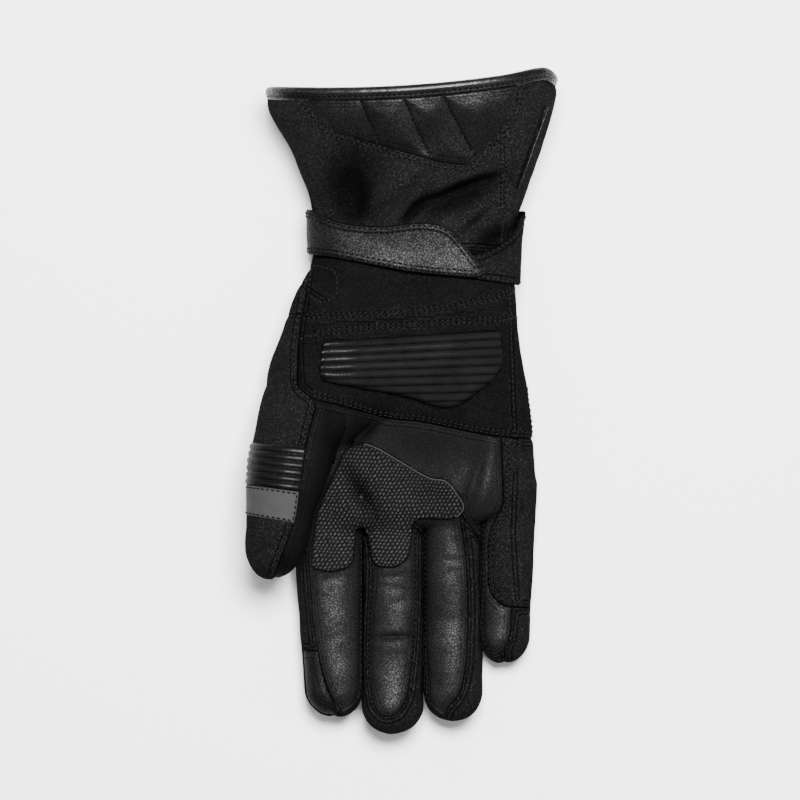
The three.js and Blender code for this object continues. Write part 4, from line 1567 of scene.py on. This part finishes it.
def level_lines(points, faces, value, level, where=None):
    offset = value - level
    offset = np.where(offset == 0, 1e-9, offset)
    normals = normals_of(points, faces)
    edges = np.sort(np.stack([faces[:, [0, 1]], faces[:, [1, 2]], faces[:, [2, 0]]], axis=1), axis=2)
    crossed = offset[edges[:, :, 0]] * offset[edges[:, :, 1]] < 0
    hit = crossed.sum(1) == 2
    pairs = edges[hit][crossed[hit]].reshape(-1, 2, 2)
    keys = pairs[:, :, 0] * len(points) + pairs[:, :, 1]
    unique, index = np.unique(keys, return_inverse=True)
    start, end = unique // len(points), unique % len(points)
    share = (offset[start] / (offset[start] - offset[end]))[:, None]
    places = points[start] + (points[end] - points[start]) * share
    ups = normals[start] + (normals[end] - normals[start]) * share
    links = {}
    for a, b in index.reshape(-1, 2).tolist():
        middle = (places[a] + places[b]) / 2
        if where is None or where(middle):
            links.setdefault(a, []).append(b)
            links.setdefault(b, []).append(a)
    return [(places[chain], ups[chain]) for chain in chains(links)]


def even_steps(line, ups, step):
    """Points along a line at even steps, with the direction and the normal at each."""
    run = np.r_[0, np.cumsum(np.linalg.norm(np.diff(line, axis=0), axis=1))]
    at = np.arange(step / 2, run[-1] - step / 2, step)
    ahead = [np.interp(at + 0.7, run, line[:, k]) for k in range(3)]
    behind = [np.interp(at - 0.7, run, line[:, k]) for k in range(3)]
    place = np.stack([np.interp(at, run, line[:, k]) for k in range(3)], axis=1)
    along = np.stack(ahead, 1) - np.stack(behind, 1)
    up = np.stack([np.interp(at, run, ups[:, k]) for k in range(3)], axis=1)
    along /= np.maximum(np.linalg.norm(along, axis=1, keepdims=True), 1e-9)
    up -= along * (up * along).sum(1, keepdims=True)
    up /= np.maximum(np.linalg.norm(up, axis=1, keepdims=True), 1e-9)
    return place, along, up


# %% [markdown]
# A stitch is a short thick thread that dives into the cloth at both ends. All stitches of one seam group are
# copies of one small form, placed in one go and kept as one object. Five sides and five rings are enough for
# something so small, and keep 1,600 stitches light.

# %% Form the stitches
STITCH_PITCH = 2.4
STITCH_LONG = 1.5
STITCH_THICK = 0.3
STITCH_SIDES = 5


def closed_tube(rings, sides):
    """The triangles of a tube of rings with both of its ends closed."""
    last = (rings - 1) * sides
    caps = [(0, k + 1, k) for k in range(1, sides - 1)]
    caps += [(last, last + k, last + k + 1) for k in range(1, sides - 1)]
    return np.vstack([halves(ring_quads(rings, sides)), caps])


def stitch_form():
    """One stitch: rows of (along, out, side) in millimetres, and its faces."""
    stations = np.array([-1.0, -0.75, 0.0, 0.75, 1.0])
    size = STITCH_THICK * np.array([0.35, 0.95, 1.05, 0.95, 0.35])
    height = 0.16 - 0.34 * stations**4
    turn = np.arange(STITCH_SIDES) * 2 * math.pi / STITCH_SIDES
    ring = np.stack([np.cos(turn) * 0.8, np.sin(turn)], axis=1)
    spots = zip(stations * STITCH_LONG / 2, size, height)
    form = [(x, up + radius * c[0], radius * c[1]) for x, radius, up in spots for c in ring]
    return np.array(form), closed_tube(len(stations), STITCH_SIDES)


def stitch(lines):
    """All stitches of a group of lines, each line with its normals, and their number."""
    form, faces = stitch_form()
    all_points, all_faces, count = [], [], 0
    for line, ups in lines:
        place, along, up = even_steps(line, ups, STITCH_PITCH)
        side = np.cross(along, up)
        for p, t, n, s in zip(place, along, up, side):
            all_points.append(p + form[:, :1] * t + form[:, 1:2] * n + form[:, 2:] * s)
            all_faces.append(faces + count * len(form))
            count += 1
    return np.vstack(all_points), np.vstack(all_faces), count


def sew_stitches(name, thread, lines):
    points, faces, count = stitch(lines)
    sew(name, points, faces, thread, "thread")
    print(name, count, "stitches,", len(faces), "triangles")


print("one stitch:", len(stitch_form()[1]), "triangles")

# %% [markdown]
# Where the photograph shows two rows, the rows are 1.7 mm apart. The finger seams have one row close to the
# leather's edge. A tab is sewn down below the strap, on the side of the thumb.

# %% Stitch the palm and the fingers
FINGER_ROW = 1.1


def rows_on(panel, levels, where=None, value=None):
    points, faces, gap = panel
    value = gap if value is None else value
    return [line for level in levels for line in level_lines(points, faces, value, level, where)]


def plan_field(panel, corners):
    return distance(outline(corners), panel[0])


def line_field(panel, line):
    return line_side(panel[0], line)


def is_palm(p):
    return p[2] > seam_height(p[1]) + 2


palm_rows = []
heel_cloth = panels["heel_panel"]
for line in (HEEL_UPPER, HEEL_LOWER):
    palm_rows += rows_on(heel_cloth, (-LINE_ROW, LINE_ROW), is_palm, line_field(heel_cloth, line))
for line in (THUMB_DART, HEEL_SIDE):
    palm_rows += rows_on(heel_cloth, (0.0,), is_palm, line_field(heel_cloth, line))
palm_rows += rows_on(heel_cloth, STITCH_ROWS, lambda p: is_palm(p) and p[1] < 8 and p[0] > -38)
palm_rows += rows_on(heel_cloth, (0.0,), is_palm, plan_field(heel_cloth, WRIST_TAB))
palm_rows += rows_on(panels["side_patch"], STITCH_ROWS, lambda p: p[0] < 54)
palm_rows += rows_on(panels["thumb_back"], STITCH_ROWS[:1], lambda p: p[2] > 22 and p[1] < 60)
sew_stitches("palm_stitches", dull_thread, palm_rows)

finger_rows = rows_on(panels["palm_leather"], (FINGER_ROW,), lambda p: p[1] < -50)
sew_stitches("finger_stitches", dull_thread, finger_rows)

# %% [markdown]
# Two rows hold the leather panel on the cuff, and black thread quilts it. The strap has two rows round its
# edge, the band and the tape have one each.

# %% Stitch the cuff, the strap and the tape
PANEL_ROWS = (1.4, 3.1)
TAPE_ROW = 1.0

cuff_cloth_panel = panels["cuff_palm"]
cuff_rows = rows_on(cuff_cloth_panel, PANEL_ROWS, is_palm, plan_field(cuff_cloth_panel, CUFF_PANEL))
side_value = line_field(cuff_cloth_panel, CUFF_SIDE)
cuff_rows += rows_on(cuff_cloth_panel, (-LINE_ROW, LINE_ROW), is_palm, side_value)
sew_stitches("cuff_stitches", dull_thread, cuff_rows)
quilt_rows = []
for row in QUILT_ROWS:
    quilt_rows += rows_on(quilt_panel, (0.0,), None, line_field(quilt_panel, row))
sew_stitches("quilt_stitches", black_thread, quilt_rows)

sew_stitches("strap_stitches", black_thread, rows_on((strap_points, strap_faces, strap_gap), STITCH_ROWS))
sew_stitches("band_stitches", dull_thread, rows_on((band_points, band_faces, band_gap), STITCH_ROWS[:1]))

tape_rows = rows_on((tape_points, tape_faces, tape_gap), (TAPE_ROW,), lambda p: p[2] > 20)
sew_stitches("tape_stitches", black_thread, tape_rows)

# %% [markdown]
# The side of the cuff carries a cord of glossy piping, swept along a level line of its own. A much thinner
# pale cord along the grip patch's edge towards the palm is a painted highlight: it stands for the glint on
# the patch's cut edge.

# %% Lay the piping and the pale cord of painted highlight
PIPING_Y = (93, 112, 130)
PIPING_X = (51.2, 57.8, 64.3)
PIPING_THICK = 1.9
GLINT_CORD_THICK = 0.44
SWEEP_STEP = 0.8


def sweep(line, ups, radius, sides=8):
    place, along, up = even_steps(line, ups, SWEEP_STEP)
    side = np.cross(along, up)
    turn = np.arange(sides) * 2 * math.pi / sides
    swell = radius * (1 + 0.08 * waves(place, 2.0, 9))
    ring = np.cos(turn)[None, :, None] * up[:, None] + np.sin(turn)[None, :, None] * side[:, None]
    rings = place[:, None] + up[:, None] * radius * 0.6 + ring * swell[:, None, None]
    return rings.reshape(-1, 3), closed_tube(len(place), sides)


def piping_field(points):
    return points[:, 0] - np.interp(points[:, 1], PIPING_Y, PIPING_X)


def on_piping(p):
    return PIPING_Y[0] < p[1] < PIPING_Y[-1] and is_palm(p)


def on_grip_edge(p):
    return -16 < p[0] < 29 and p[1] > -24 - 0.72 * (p[0] + 14)


piping_lines = rows_on(cuff_cloth_panel, (0.0,), on_piping, piping_field(cuff_cloth_panel[0]))
piping_line = max(piping_lines, key=lambda line: len(line[0]))
points, faces = sweep(*piping_line, PIPING_THICK / 2)
sew("cuff_piping", points, faces, piping_leather, "leather", 0, ["cuff_piping"])
# The pale cord is a painted highlight along the grip patch's edge.
grip_glint_lines = rows_on(grip_panel, (0.4,), on_grip_edge)
for number, line in enumerate(grip_glint_lines):
    points, faces = sweep(*line, GLINT_CORD_THICK / 2, sides=6)
    sew(f"grip_glint_lines_{number}", points, faces, glint_cord, "thread")
print("piping:", len(piping_line[0]), "points, pale cords:", len(grip_glint_lines))

# %% [markdown]
# The binding is sewn down on its flange, all the way round the mouth.

# %% Stitch the binding
mouth_seam = roll_line + roll_out * ROLL_THICK * 0.33 + roll_forward * SEWN_AT * BINDING / 2
mouth_seam[:, 2] = np.maximum(mouth_seam[:, 2], 0.3)
closed = np.r_[np.arange(len(mouth_seam)), 0]
sew_stitches("mouth_stitches", black_thread, [(mouth_seam[closed], roll_out[closed])])
